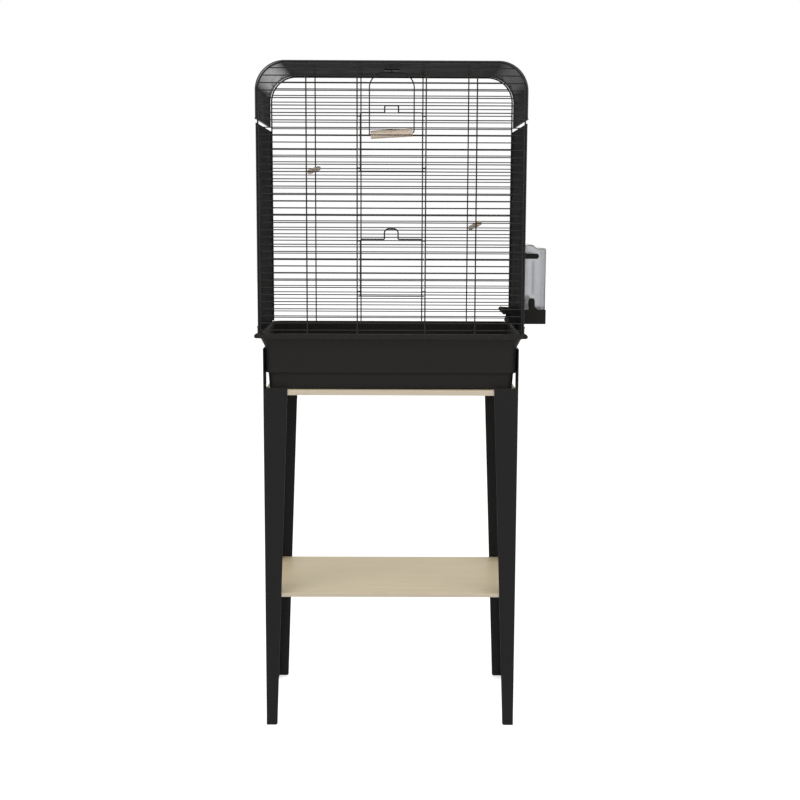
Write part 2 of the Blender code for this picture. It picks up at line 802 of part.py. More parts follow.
def door_rows(top):
    """First and last row that stay whole above and below a door's opening."""
    first = nearest_row(top)
    return first, first + round(DOOR_HEIGHT / ROW_STEP)


def wire_panel(name, side, doors=()):
    """A welded panel: rows of wire across four posts and a frame wire, cut open for its doors."""
    rows = []
    openings = [door_rows(top) for top in doors]
    for index in range(ROW_COUNT):
        z = row_height(index)
        end = row_half_length(z)
        y = side * ROW_Y
        if any(first < index < last for first, last in openings):
            rows.append([(-end, y, z), (-INNER_POST_X, y, z)])
            rows.append([(INNER_POST_X, y, z), (end, y, z)])
        else:
            rows.append([(-end, y, z), (end, y, z)])
    posts = []
    for x in (-OUTER_POST_X, -INNER_POST_X, INNER_POST_X, OUTER_POST_X):
        posts.append([(x, side * POST_Y, SIDE_BOTTOM), (x, side * POST_Y, FRAME_TOP)])
    parts = [wires(posts, POST_WIRE), wires([frame_path(side * ROW_Y)], FRAME_WIRE)]
    if openings:
        parts.append(wires(keeper_paths(openings), KEEPER_WIRE))
    as_part(joined(name, wires(rows, ROW_WIRE), parts), name, "dark_wire", smooth=50)


def keeper_paths(openings):
    """Short hooks on the posts that hold a door's side wires from in front."""
    paths = []
    reach = DOOR_WIDTH / 2 - POST_WIRE / 2
    for first, last in openings:
        top = row_height(first)
        bottom = row_height(last)
        for z in (bottom + KEEPER_MARGIN, top - KEEPER_MARGIN, top + KEEPER_RAISE):
            for side in (-1, 1):
                post = side * INNER_POST_X
                paths.append(
                    [(post, -POST_Y, z), (post, -KEEPER_Y, z), (side * reach, -KEEPER_Y, z)]
                )
    return paths


def build_door(name, top, drop, handle_height, handle_round):
    """A sliding door: one bent frame wire with a handle loop, and rows of wire behind it."""
    first, last = door_rows(top)
    frame_top = row_height(first) - drop
    frame_bottom = row_height(last) - drop
    half = DOOR_WIDTH / 2
    grip = HANDLE_WIDTH / 2
    handle_top = frame_top + handle_height
    corners = [
        (-half, frame_bottom, 0.0),
        (-half, frame_top, DOOR_CORNER),
        (-grip, frame_top, DOOR_CORNER / 2),
        (-grip, handle_top, handle_round),
        (grip, handle_top, handle_round),
        (grip, frame_top, DOOR_CORNER / 2),
        (half, frame_top, DOOR_CORNER),
        (half, frame_bottom, 0.0),
    ]
    frame = [(x, -DOOR_FRAME_Y, z) for x, z in rounded(corners, 3)]
    reach = INNER_POST_X - POST_WIRE / 2 - DOOR_SIDE_PLAY
    heights = [row_height(index) for index in range(first + 1, last)]
    heights.append(frame_bottom + ROW_WIRE / 2)
    rows = [[(-reach, -DOOR_ROW_Y, z), (reach, -DOOR_ROW_Y, z)] for z in heights]
    mesh = joined(name, wires([frame], POST_WIRE), [wires(rows, ROW_WIRE)])
    as_part(mesh, name, "dark_wire", (0.0, -DOOR_FRAME_Y, frame_top), smooth=50)


def build_panels():
    wire_panel("rear_wire_panel", 1)
    wire_panel("front_wire_panel", -1, (UPPER_DOOR_TOP, LOWER_DOOR_TOP))
    build_door(
        "upper_door", UPPER_DOOR_TOP, UPPER_DOOR_DROP, UPPER_HANDLE_HEIGHT, UPPER_HANDLE_ROUND
    )
    build_door(
        "lower_door", LOWER_DOOR_TOP, LOWER_DOOR_DROP, LOWER_HANDLE_HEIGHT, LOWER_HANDLE_ROUND
    )


def build_swing():
    plate_top = ROOF_UNDERSIDE - FIT
    half_x = HANGER_LENGTH / 2
    half_y = HANGER_WIDTH / 2
    base = box((-half_x, -half_y, plate_top - HANGER_PLATE), (half_x, half_y, plate_top))
    loop = []
    for step in range(17):
        angle = math.pi / 2 + 2 * math.pi * step / 16
        loop.append((0.0, HANGER_RING * math.cos(angle), RING_Z + HANGER_RING * math.sin(angle)))
    eye = closed_wire(loop[:-1], HANGER_WIRE)
    as_part(joined("swing_hanger", base, [eye]), "swing_hanger", "black_moulding", smooth=40)

    half = SWING_WIDTH / 2
    dowel_z = SWING_Z - SWING_DROP
    rise = half * math.tan(SWING_TILT)
    pin_rise = SWING_PIN * math.tan(SWING_TILT)
    bend = SWING_WIRE
    corners = [
        (-half + SWING_PIN, dowel_z - rise + pin_rise, 0.0),
        (-half, dowel_z - rise, bend),
        (-half, SWING_Z, SWING_SHOULDER),
        (half, SWING_Z, SWING_SHOULDER),
        (half, dowel_z + rise, bend),
        (half - SWING_PIN, dowel_z + rise - pin_rise, 0.0),
    ]
    hoop = wires([[(x, 0.0, z) for x, z in bent(corners, 5)]], SWING_WIRE, 2)
    pivot = (0.0, 0.0, SWING_Z)
    as_part(hoop, "swing_hoop", "dark_wire", pivot, smooth=50)

    along = Vector((math.cos(SWING_TILT), 0.0, math.sin(SWING_TILT)))
    middle = Vector((0.0, 0.0, dowel_z))
    dowel_half = (half - SWING_WIRE / 2 - FIT) / math.cos(SWING_TILT) - SWING_WIRE / 2
    dowel = rod(SWING_DOWEL / 2, middle - along * dowel_half, middle + along * dowel_half, 24)
    sockets = []
    for end in (-1, 1):
        mouth = middle + along * (end * (dowel_half + SWING_PIN))
        stop = middle + along * (end * (half - SWING_PIN - 2 * SWING_WIRE))
        sockets.append(rod(SWING_WIRE / 2 + FIT, mouth, stop, 12))
    mesh = joined("swing_perch", dowel, cuts=[merged(sockets)])
    as_part(mesh, "swing_perch", "turned_wood", pivot, smooth=40)


def closed_wire(points, diameter):
    """A wire bent into a closed ring."""
    curve = bpy.data.curves.new("ring", "CURVE")
    curve.dimensions = "3D"
    curve.bevel_depth = diameter / 2
    curve.bevel_resolution = 2
    curve.render_resolution_u = 0
    spline = curve.splines.new("POLY")
    spline.points.add(len(points) - 1)
    for point, place in zip(spline.points, points):
        point.co = (*place, 1.0)
    spline.use_cyclic_u = True
    item = bpy.data.objects.new("ring", curve)
    bpy.context.scene.collection.objects.link(item)
    mesh = evaluated_mesh(item)
    bpy.data.objects.remove(item, do_unlink=True)
    bpy.data.curves.remove(curve)
    bm = bmesh.new()
    bm.from_mesh(mesh)
    return mesh_from(bm)


def build_perch(name, post_x, front_z, rear_step):
    """A dowel from front to rear beside a post, notched at its ends over a row of each panel."""
    front_row = nearest_row(front_z)
    front = Vector((0.0, -ROW_Y, row_height(front_row)))
    rear = Vector((0.0, ROW_Y, row_height(front_row + rear_step)))
    x = post_x + POST_WIRE / 2 + FIT + PERCH_DOWEL / 2
    along = (rear - front).normalized()
    past = POST_Y - ROW_Y
    start = front - along * past
    end = rear + along * past
    offset = Vector((x, 0.0, 0.0))
    dowel = rod(PERCH_DOWEL / 2, start + offset, end + offset, 20)
    notches = []
    width = PERCH_DOWEL
    high = ROW_WIRE / 2 + PERCH_NOTCH_PLAY
    for row, way in ((front, -1), (rear, 1)):
        inner = row.y - way * (ROW_WIRE / 2 + PERCH_SHELF)
        outer = row.y + way * (past + PERCH_SHELF)
        low = (x - width, min(inner, outer), row.z - high)
        top = (x + width, max(inner, outer), row.z + high)
        notches.append(box(low, top))
    mesh = joined(name, dowel, cuts=[merged(notches)])
    as_part(mesh, name, "turned_wood", smooth=40)


def build_perches():
    build_perch("perch_left", -OUTER_POST_X, LEFT_PERCH_Z, -1)
    build_perch("perch_right", OUTER_POST_X, RIGHT_PERCH_Z, 1)


def trough_mesh():
    """The trough: a slanted box through the wall, open under the hopper and towards the cage."""
    nose = WALL_X - SHELL - TROUGH_NOSE
    slant = TROUGH_SLANT / TROUGH_HEIGHT
    side = [
        (nose, TROUGH_BOTTOM, 0.0),
        (TROUGH_X, TROUGH_BOTTOM, 0.0020),
        (TROUGH_X, TROUGH_TOP, 0.0),
        (nose + TROUGH_SLANT, TROUGH_TOP, 0.0),
    ]
    body = plate(rounded(side), FEEDER_WIDTH, "xz")
    wall = FEEDER_WALL
    floor = TROUGH_BOTTOM + wall
    mouth_x = HOPPER_INNER_X + wall
    lip = TROUGH_BOTTOM + TROUGH_LIP
    hollow = [
        (nose + wall + slant * wall, floor, 0.0),
        (TROUGH_X - wall, floor, 0.0),
        (TROUGH_X - wall, TROUGH_TOP + wall, 0.0),
        (mouth_x, TROUGH_TOP + wall, 0.0),
        (mouth_x, TROUGH_TOP - TROUGH_HEADER, 0.0),
        (nose - wall, TROUGH_TOP - TROUGH_HEADER, 0.0),
        (nose - wall, lip, 0.0),
        (nose + wall + slant * TROUGH_LIP, lip, 0.0),
    ]
    room = plate(rounded(hollow), FEEDER_WIDTH - 2 * wall, "xz")
    cheek_y = (FEEDER_WIDTH - wall) / 2
    cheek = wall - 2 * FIT
    lug_x = WALL_X + LUG_X
    lug_top = TROUGH_TOP + LUG_RISE
    lug = [
        (lug_x - LUG_ROUND, TROUGH_TOP - wall, 0.0),
        (lug_x + 2 * LUG_ROUND, TROUGH_TOP - wall, 0.0),
        (lug_x + 2 * LUG_ROUND, TROUGH_TOP + wall / 2, 0.0),
        (lug_x + LUG_ROUND, TROUGH_TOP + LUG_ROUND, 0.0),
        (lug_x + LUG_ROUND, lug_top, LUG_ROUND * 0.9),
        (lug_x - LUG_ROUND, lug_top, LUG_ROUND * 0.9),
    ]
    arm_high = FEED_PERCH_NECK + 0.0020
    arm_root = nose + TROUGH_SLANT + wall
    arm_top = FEED_PERCH_Z + arm_high
    arm_bottom = FEED_PERCH_Z - arm_high
    arm = [
        (FEED_PERCH_X - arm_high, arm_bottom, arm_high * 0.9),
        (arm_root, arm_bottom, 0.0),
        (arm_root, TROUGH_TOP - wall / 2, 0.0),
        (FEED_PERCH_X - arm_high, arm_top, arm_high * 0.9),
    ]
    extras = []
    for side in (-1, 1):
        for outline in (lug, arm):
            extras.append(moved(plate(rounded(outline), cheek, "xz"), (0.0, side * cheek_y, 0.0)))
    reach = FEEDER_WIDTH
    neck = FEED_PERCH_NECK + FIT
    start = (FEED_PERCH_X, -reach, FEED_PERCH_Z)
    end = (FEED_PERCH_X, reach, FEED_PERCH_Z)
    body = joined("trough_body", body, cuts=[room])
    return joined("feeder_trough", body, [merged(extras)], [rod(neck, start, end, 10)])


def hopper_mesh():
    """The hopper: a tall clear box with a sloping top, open at its skirt inside the trough."""
    inner = HOPPER_INNER_X
    outer = HOPPER_OUTER_X
    top = HOPPER_BOTTOM + HOPPER_HEIGHT
    peak = top + HOPPER_PEAK

    def silhouette(inset, low):
        return [
            (inner + inset, low, 0.0),
            (outer - inset, low, 0.0),
            (outer - inset, top - inset, 0.0),
            (inner + HOPPER_SHOULDER_X - inset / 2, top - inset, 0.0),
            (inner + HOPPER_PEAK_X - inset / 2, peak - inset, 0.0),
            (inner + inset, peak - HOPPER_PEAK / 3 - inset, 0.0),
        ]

    body = plate(rounded(silhouette(0.0, HOPPER_BOTTOM)), 2 * HOPPER_HALF_Y, "xz")
    step = FEEDER_WALL + SLIDE_GAP
    skirt_low = (HOPPER_INNER_X + step, -HOPPER_HALF_Y, HOPPER_BOTTOM - HOPPER_SKIRT)
    skirt_high = (TROUGH_X - step, HOPPER_HALF_Y, HOPPER_BOTTOM + HOPPER_WALL)
    skirt_half = FEEDER_WIDTH / 2 - FEEDER_WALL - SLIDE_GAP
    skirt = box(
        (skirt_low[0], -skirt_half, skirt_low[2]), (skirt_high[0], skirt_half, skirt_high[2])
    )
    lining = step + HOPPER_WALL
    low = HOPPER_BOTTOM + HOPPER_WALL
    room = plate(rounded(silhouette(HOPPER_WALL, low)), 2 * (HOPPER_HALF_Y - HOPPER_WALL), "xz")
    throat = box(
        (inner + lining, -(skirt_half - HOPPER_WALL), HOPPER_BOTTOM - 2 * HOPPER_SKIRT),
        (TROUGH_X - lining, skirt_half - HOPPER_WALL, low + HOPPER_WALL),
    )
    return joined("feeder_hopper", body, [skirt], [room, throat])


def clip_mesh():
    """The clip: a plate on the wall with an arm along each side of the hopper."""
    inner = WALL_X + FIT
    arm_y = HOPPER_HALF_Y + SLIDE_GAP
    half_z = CLIP_HEIGHT / 2
    thick = HOPPER_SETBACK - 2 * FIT
    outer_y = arm_y + CLIP_THICK
    back = box((inner, -outer_y, CLIP_Z - half_z), (inner + thick, outer_y, CLIP_Z + half_z))
    arm = [
        (inner, CLIP_Z - half_z, 0.0),
        (WALL_X + CLIP_ARM, CLIP_Z - half_z, half_z * 0.95),
        (WALL_X + CLIP_ARM, CLIP_Z + half_z, half_z * 0.95),
        (inner, CLIP_Z + half_z, 0.0),
    ]
    middle = arm_y + CLIP_THICK / 2
    arms = [
        moved(plate(rounded(arm), CLIP_THICK, "xz"), (0.0, side * middle, 0.0)) for side in (-1, 1)
    ]
    return joined("feeder_clip", back, [merged(arms)])


def build_feeder():
    as_part(trough_mesh(), "feeder_trough", "black_moulding", smooth=30)
    hopper_seat = (HOPPER_INNER_X, 0.0, HOPPER_BOTTOM)
    as_part(hopper_mesh(), "feeder_hopper", "smoke_clear", hopper_seat)
    as_part(clip_mesh(), "feeder_clip", "black_moulding", smooth=30)
    arm_in = FEEDER_WIDTH / 2 - FEEDER_WALL - FIT
    arm_out = FEEDER_WIDTH / 2 + FIT
    end = arm_out + FEED_PERCH_END
    soft = 0.0015
    profile = [
        (0.0, end),
        (FEED_PERCH_RADIUS - soft, end),
        (FEED_PERCH_RADIUS, end - soft),
        (FEED_PERCH_RADIUS, arm_out),
        (FEED_PERCH_NECK, arm_out),
        (FEED_PERCH_NECK, arm_in),
        (FEED_PERCH_RADIUS, arm_in),
        (FEED_PERCH_RADIUS, -arm_in),
        (FEED_PERCH_NECK, -arm_in),
        (FEED_PERCH_NECK, -arm_out),
        (FEED_PERCH_RADIUS, -arm_out),
        (FEED_PERCH_RADIUS, soft - end),
        (FEED_PERCH_RADIUS - soft, -end),
        (0.0, -end),
    ]
    perch = turned(profile, 16)
    perch.transform(Matrix.Rotation(math.pi / 2, 4, "X"))
    moved(perch, (FEED_PERCH_X, 0.0, FEED_PERCH_Z))
    as_part(perch, "feeder_perch", "black_moulding", smooth=40)


build_stand()
build_tub()
build_latches()
build_shell()
build_panels()
build_swing()
build_perches()
build_feeder()
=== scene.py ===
"""Dressed model of a bird cage with an arched roof, standing on four tapered legs with two boards.

Each sub-assembly is a class whose fields hold its sizes in metres. Shapes are worked out about the
middle of the cage, with the front towards -Y, and are put in their place in the frame when a piece
is finished.
"""

import logging
import math
from dataclasses import dataclass, field
from enum import Enum
from typing import Callable, Iterable, Optional, Sequence, Union

import bmesh
import bpy
from bmesh.types import BMEdge, BMFace, BMesh, BMVert
from bpy.types import Material, Node, NodeSocket, NodeTree, Object
from mathutils import Matrix, Vector


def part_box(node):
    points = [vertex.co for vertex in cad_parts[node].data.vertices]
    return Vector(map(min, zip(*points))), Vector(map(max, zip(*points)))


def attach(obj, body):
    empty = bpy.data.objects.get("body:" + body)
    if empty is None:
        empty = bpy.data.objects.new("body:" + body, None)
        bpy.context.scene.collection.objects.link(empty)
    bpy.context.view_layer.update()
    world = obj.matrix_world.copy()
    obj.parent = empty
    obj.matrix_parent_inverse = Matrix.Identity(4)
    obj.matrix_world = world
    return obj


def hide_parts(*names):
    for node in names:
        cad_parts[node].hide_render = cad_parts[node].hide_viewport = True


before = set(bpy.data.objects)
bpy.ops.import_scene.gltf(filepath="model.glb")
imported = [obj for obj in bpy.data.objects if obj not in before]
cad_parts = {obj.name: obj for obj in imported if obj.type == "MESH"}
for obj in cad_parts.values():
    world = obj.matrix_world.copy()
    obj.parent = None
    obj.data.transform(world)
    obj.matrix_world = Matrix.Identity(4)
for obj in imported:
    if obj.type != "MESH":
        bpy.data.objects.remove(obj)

Colour = tuple[float, float, float]
Point = tuple[float, float, float]
Corner = tuple[float, float, float]
Spot = tuple[float, float]
Pair = tuple[float, float]
Socket = Union[NodeSocket, float, Point]
Outputs = bpy.types.bpy_prop_collection
Recipe = Callable[["Nodes", NodeSocket], dict[str, NodeSocket]]

LOG = logging.getLogger("bird_cage")
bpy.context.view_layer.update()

CORNERS = {
    "front_left": (-1, -1),
    "front_right": (1, -1),
    "rear_left": (-1, 1),
    "rear_right": (1, 1),
}
MERGE = 0.000001  # Corners closer than this are one.
GAP = 0.0003  # The play between pieces that meet.
EASE = 0.0003  # The least rounding of an edge.
SHEET = 0.0020  # The thickness of the roof and of the side panels.
PANEL_X = 0.2514  # Where the right side panel's outer face is.
HALF_DEPTH = 0.1400  # Half the depth of the cage.
LATCH: Point = (0.2570, 0.1100, 0.7695)  # The pivot of the rear right latch.


class Body(Enum):
    """The moving bodies that pieces ride on."""

    STAND = "stand"
    CAGE = "cage"
    UPPER_DOOR = "upper_door"
    LOWER_DOOR = "lower_door"
    SWING = "swing"
    HOPPER = "hopper"
    LATCH_FRONT_LEFT = "latch_front_left"
    LATCH_FRONT_RIGHT = "latch_front_right"
    LATCH_REAR_LEFT = "latch_rear_left"
    LATCH_REAR_RIGHT = "latch_rear_right"


class Slot(Enum):
    """The record's material slots."""

    SHELL = "black_shell"
    MOULDING = "black_moulding"
    PAINT = "black_paint"
    WIRE = "dark_wire"
    BOARD = "pale_board"
    DOWEL = "turned_wood"
    CLEAR = "smoke_clear"
    SCREW = "bright_screw"


class Plane(Enum):
    """The plane that a flat outline is drawn in."""

    XY = "xy"
    XZ = "xz"


class Side(Enum):
    """Which way along an axis a mirrored piece lies."""

    LOW = -1
    HIGH = 1


def datum() -> Vector:
    """The offset from the cage's own middle to the frame's origin, by the lower shelf's place."""
    low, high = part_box("lower_shelf")
    return Vector(((low.x + high.x) / 2, (low.y + high.y) / 2, 0.0))


def rounded(corners: Sequence[Corner], steps: int = 8) -> list[Spot]:
    """Rounds the corners of a closed polygon.

    Args:
        corners: Each corner as its two coordinates and a radius.
        steps: How many lengths make up each rounded corner.

    Returns:
        The outline's points in order.
    """
    outline: list[Spot] = []
    for index, (across, up, radius) in enumerate(corners):
        if radius <= 0.0:
            outline.append((across, up))
            continue
        here = Vector((across, up))
        back = (Vector(corners[index - 1][:2]) - here).normalized()
        ahead = (Vector(corners[(index + 1) % len(corners)][:2]) - here).normalized()
        half = back.angle(ahead) / 2
        centre = here + (back + ahead).normalized() * (radius / math.sin(half))
        first = here + back * (radius / math.tan(half)) - centre
        last = here + ahead * (radius / math.tan(half)) - centre
        sweep = first.angle_signed(last)
        for step in range(steps + 1):
            point = centre + Matrix.Rotation(-sweep * step / steps, 2) @ first
            outline.append((point.x, point.y))
    return outline


def bent(corners: Sequence[Corner], steps: int = 8) -> list[Spot]:
    """Rounds the inner corners of an open line, as a wire is bent."""
    first, last = ((*corner[:2], 0.0) for corner in (corners[0], corners[-1]))
    return rounded([first, *corners[1:-1], last], steps)


def mirrored(left: Sequence[Corner]) -> list[Corner]:
    """The corners of a left half and then, backwards, those of the right half."""
    return [*left, *((-across, up, radius) for across, up, radius in reversed(left))]


def spindle(upper: Sequence[Spot]) -> list[Spot]:
    """A turned profile that is the same above and below its middle."""
    return [*upper, *((radius, -height) for radius, height in reversed(upper))]


def pick(geometry: Iterable[object], kind: type) -> list:
    """The items of one kind among what a bmesh operator returns."""
    return [item for item in geometry if isinstance(item, kind)]


def unique(items: Iterable[object]) -> list:
    """The items without repeats, in the order in which they come."""
    return list(dict.fromkeys(items))


def bevel(bm: BMesh, geometry: list, width: float, segments: int, affect: str = "EDGES") -> None:
    """Rounds edges or corners.

    Args:
        bm: The mesh to round.
        geometry: The edges or vertices.
        width: How far from them the rounding starts.
        segments: How many faces make up the rounding.
        affect: Whether it goes over EDGES or VERTICES.
    """
    bmesh.ops.bevel(
        bm, geom=geometry, offset=width, offset_type="OFFSET", segments=segments, profile=0.5,
        affect=affect, clamp_overlap=affect == "EDGES", material=-1,
    )


class WireBench:
    """Lays round wires into a bmesh."""

    @staticmethod
    def straight(bm: BMesh, start: Point, end: Point, radius: float) -> None:
        """Adds a straight wire with flat ends.

        Args:
            bm: The mesh that takes the wire.
            start: Where its centre line starts.
            end: Where its centre line ends.
            radius: Half its thickness.
        """
        axis = Vector(end) - Vector(start)
        turn = Vector((0.0, 0.0, 1.0)).rotation_difference(axis).to_matrix().to_4x4()
        middle = Matrix.Translation((Vector(start) + Vector(end)) / 2)
        bmesh.ops.create_cone(
            bm, cap_ends=True, segments=12, radius1=radius, radius2=radius, depth=axis.length,
            matrix=middle @ turn,
        )

    @staticmethod
    def stations(path: Sequence[Vector], closed: bool) -> list[Matrix]:
        """Where a wire's section lies and how it is turned at each point of its path.

        Args:
            path: The centre line's points.
            closed: Whether the path returns to its first point.

        Returns:
            One matrix for each point, carried along without twist.
        """
        count = len(path)
        places: list[Matrix] = []
        tangent = Vector((0.0, 0.0, 1.0))
        turn = Matrix.Identity(4)
        for index, point in enumerate(path):
            before = path[index - 1] if index or closed else point
            after = path[(index + 1) % count] if index + 1 < count or closed else point
            ahead = (after - before).normalized()
            turn = tangent.rotation_difference(ahead).to_matrix().to_4x4() @ turn
            tangent = ahead
            places.append(Matrix.Translation(point) @ turn)
        return places

    @classmethod
    def follow(
        cls, bm: BMesh, path: Sequence[Point], radius: float, sides: int = 12, closed: bool = False
    ) -> None:
        """Adds a wire that follows a path of points.

        Args:
            bm: The mesh that takes the wire.
            path: The centre line's points.
            radius: Half its thickness.
            sides: How many faces go round it.
            closed: Whether the wire's ends meet.
        """
        places = cls.stations([Vector(point) for point in path], closed)
        made = bmesh.ops.create_circle(
            bm, cap_ends=False, segments=sides, radius=radius, matrix=places[0]
        )
        start = unique(edge for vert in made["verts"] for edge in vert.link_edges)
        edges = start
        for last, place in zip(places, places[1:]):
            pulled = bmesh.ops.extrude_edge_only(bm, edges=edges)["geom"]
            verts = pick(pulled, BMVert)
            bmesh.ops.transform(bm, matrix=place @ last.inverted(), verts=verts)
            fresh = set(verts)
            edges = [edge for edge in pick(pulled, BMEdge) if set(edge.verts) <= fresh]
        if closed:
            bmesh.ops.bridge_loops(bm, edges=edges + start)
            return
        for rim in (start, edges):
            bmesh.ops.edgeloop_fill(bm, edges=rim)

    @staticmethod
    def weld(bm: BMesh, place: Point, radius: float) -> None:
        """Adds the small flattened bead of a spot weld."""
        bead = Matrix.Translation(place) @ Matrix.Diagonal((1.0, 0.55, 1.0, 1.0))
        bmesh.ops.create_icosphere(bm, subdivisions=1, radius=radius, matrix=bead)


class SheetBench:
    """Shapes plates, turned solids and moulded shells in a bmesh."""

    @staticmethod
    def lay(spot: Spot, plane: Plane, level: float) -> Vector:
        """A point of a flat outline as a point in space."""
        in_space = (*spot, level) if plane is Plane.XY else (spot[0], level, spot[1])
        return Vector(in_space)

    @classmethod
    def slab(
        cls, bm: BMesh, outline: Sequence[Spot], plane: Plane, low: float, high: float
    ) -> None:
        """Extrudes a closed outline between two levels.

        Args:
            bm: The mesh that takes the slab.
            outline: The outline's points.
            plane: The plane that the outline is drawn in.
            low: Where the slab starts across that plane.
            high: Where it ends.
        """
        verts = [bm.verts.new(cls.lay(spot, plane, low)) for spot in outline]
        base = bm.faces.new(verts)
        pulled = bmesh.ops.extrude_face_region(bm, geom=[base], use_keep_orig=True)["geom"]
        shift = cls.lay((0.0, 0.0), plane, high - low)
        bmesh.ops.translate(bm, vec=shift, verts=pick(pulled, BMVert))
        around = [face for vert in verts for face in vert.link_faces]
        bmesh.ops.recalc_face_normals(bm, faces=unique([*around, *pick(pulled, BMFace)]))

    @staticmethod
    def soften(bm: BMesh, width: float, angle: float = 40.0, segments: int = 3) -> None:
        """Rounds every edge that is sharper than an angle.

        Args:
            bm: The mesh to round.
            width: How far from the edge the rounding starts.
            angle: The smallest angle in degrees that is rounded.
            segments: How many faces make up the rounding.
        """
        limit = math.radians(angle)
        sharp = [edge for edge in bm.edges if len(edge.link_faces) == 2]
        sharp = [edge for edge in sharp if edge.calc_face_angle(0.0) > limit]
        bevel(bm, sharp, width, segments)

    @staticmethod
    def split(bm: BMesh, axis: int, level: float, clear_below: bool = False) -> None:
        """Cuts every face along one level of an axis.

        Args:
            bm: The mesh to cut.
            axis: The axis, as 0, 1 or 2.
            level: Where the cut is.
            clear_below: Whether what lies below it is taken away.
        """
        normal = Vector((0.0, 0.0, 0.0))
        normal[axis] = 1.0
        bmesh.ops.bisect_plane(
            bm, geom=[*bm.verts, *bm.edges, *bm.faces], plane_co=normal * level, plane_no=normal,
            clear_inner=clear_below,
        )

    @staticmethod
    def turned(bm: BMesh, profile: Sequence[Spot], steps: int, place: Matrix) -> None:
        """Spins a profile of radius and height about its axis.

        Args:
            bm: The mesh that takes the solid.
            profile: The profile's points, with both ends on the axis.
            steps: How many faces go round it.
            place: Where the axis lies.
        """
        verts = [bm.verts.new((radius, 0.0, height)) for radius, height in profile]
        edges = [bm.edges.new(pair) for pair in zip(verts, verts[1:])]
        spun = bmesh.ops.spin(
            bm, geom=[*verts, *edges], cent=(0.0, 0.0, 0.0), axis=(0.0, 0.0, 1.0),
            angle=math.tau, steps=steps, use_merge=True,
        )
        island = unique([*verts, *pick(spun["geom_last"], BMVert)])
        known = set(island)
        for vert in island:  # The list grows while it is walked.
            near = [edge.other_vert(vert) for edge in vert.link_edges]
            island += [other for other in near if other not in known]
            known.update(near)
        bmesh.ops.remove_doubles(bm, verts=island, dist=MERGE)
        kept = [vert for vert in island if vert.is_valid]
        bmesh.ops.transform(bm, matrix=place, verts=kept)

    @staticmethod
    def rim(half_x: float, half_y: float, corner: float, height: float) -> list[Vector]:
        """One level of a moulded shell: a rounded rectangle.

        Args:
            half_x: Half the rectangle's width.
            half_y: Half its depth.
            corner: Its corner radius.
            height: Its height.

        Returns:
            The level's points in order.
        """
        ways = ((1, -1), (1, 1), (-1, 1), (-1, -1))
        corners = [(x * half_x, y * half_y, corner) for x, y in ways]
        return [Vector((x, y, height)) for x, y in rounded(corners, 10)]

    @staticmethod
    def raise_shell(bm: BMesh, levels: Sequence[Sequence[Vector]]) -> None:
        """Pulls a loop of edges through every level and closes the first and last of them.

        Args:
            bm: The mesh that takes the shell.
            levels: Each level's points, as many in each.
        """
        verts = [bm.verts.new(point) for point in levels[0]]
        first = [bm.edges.new((vert, verts[i - 1])) for i, vert in enumerate(verts)]
        edges = first
        order = {vert: index for index, vert in enumerate(verts)}
        for level in levels[1:]:
            pulled = bmesh.ops.extrude_edge_only(bm, edges=edges)["geom"]
            fresh = pick(pulled, BMVert)
            places: dict[BMVert, int] = {}
            for vert in fresh:
                near = [edge.other_vert(vert) for edge in vert.link_edges]
                places[vert] = next(order[other] for other in near if other in order)
            for vert, index in places.items():
                vert.co = level[index]
            edges = [edge for edge in pick(pulled, BMEdge) if set(edge.verts) <= set(fresh)]
            order = places
        for rim in (first, edges):
            bmesh.ops.edgeloop_fill(bm, edges=rim)


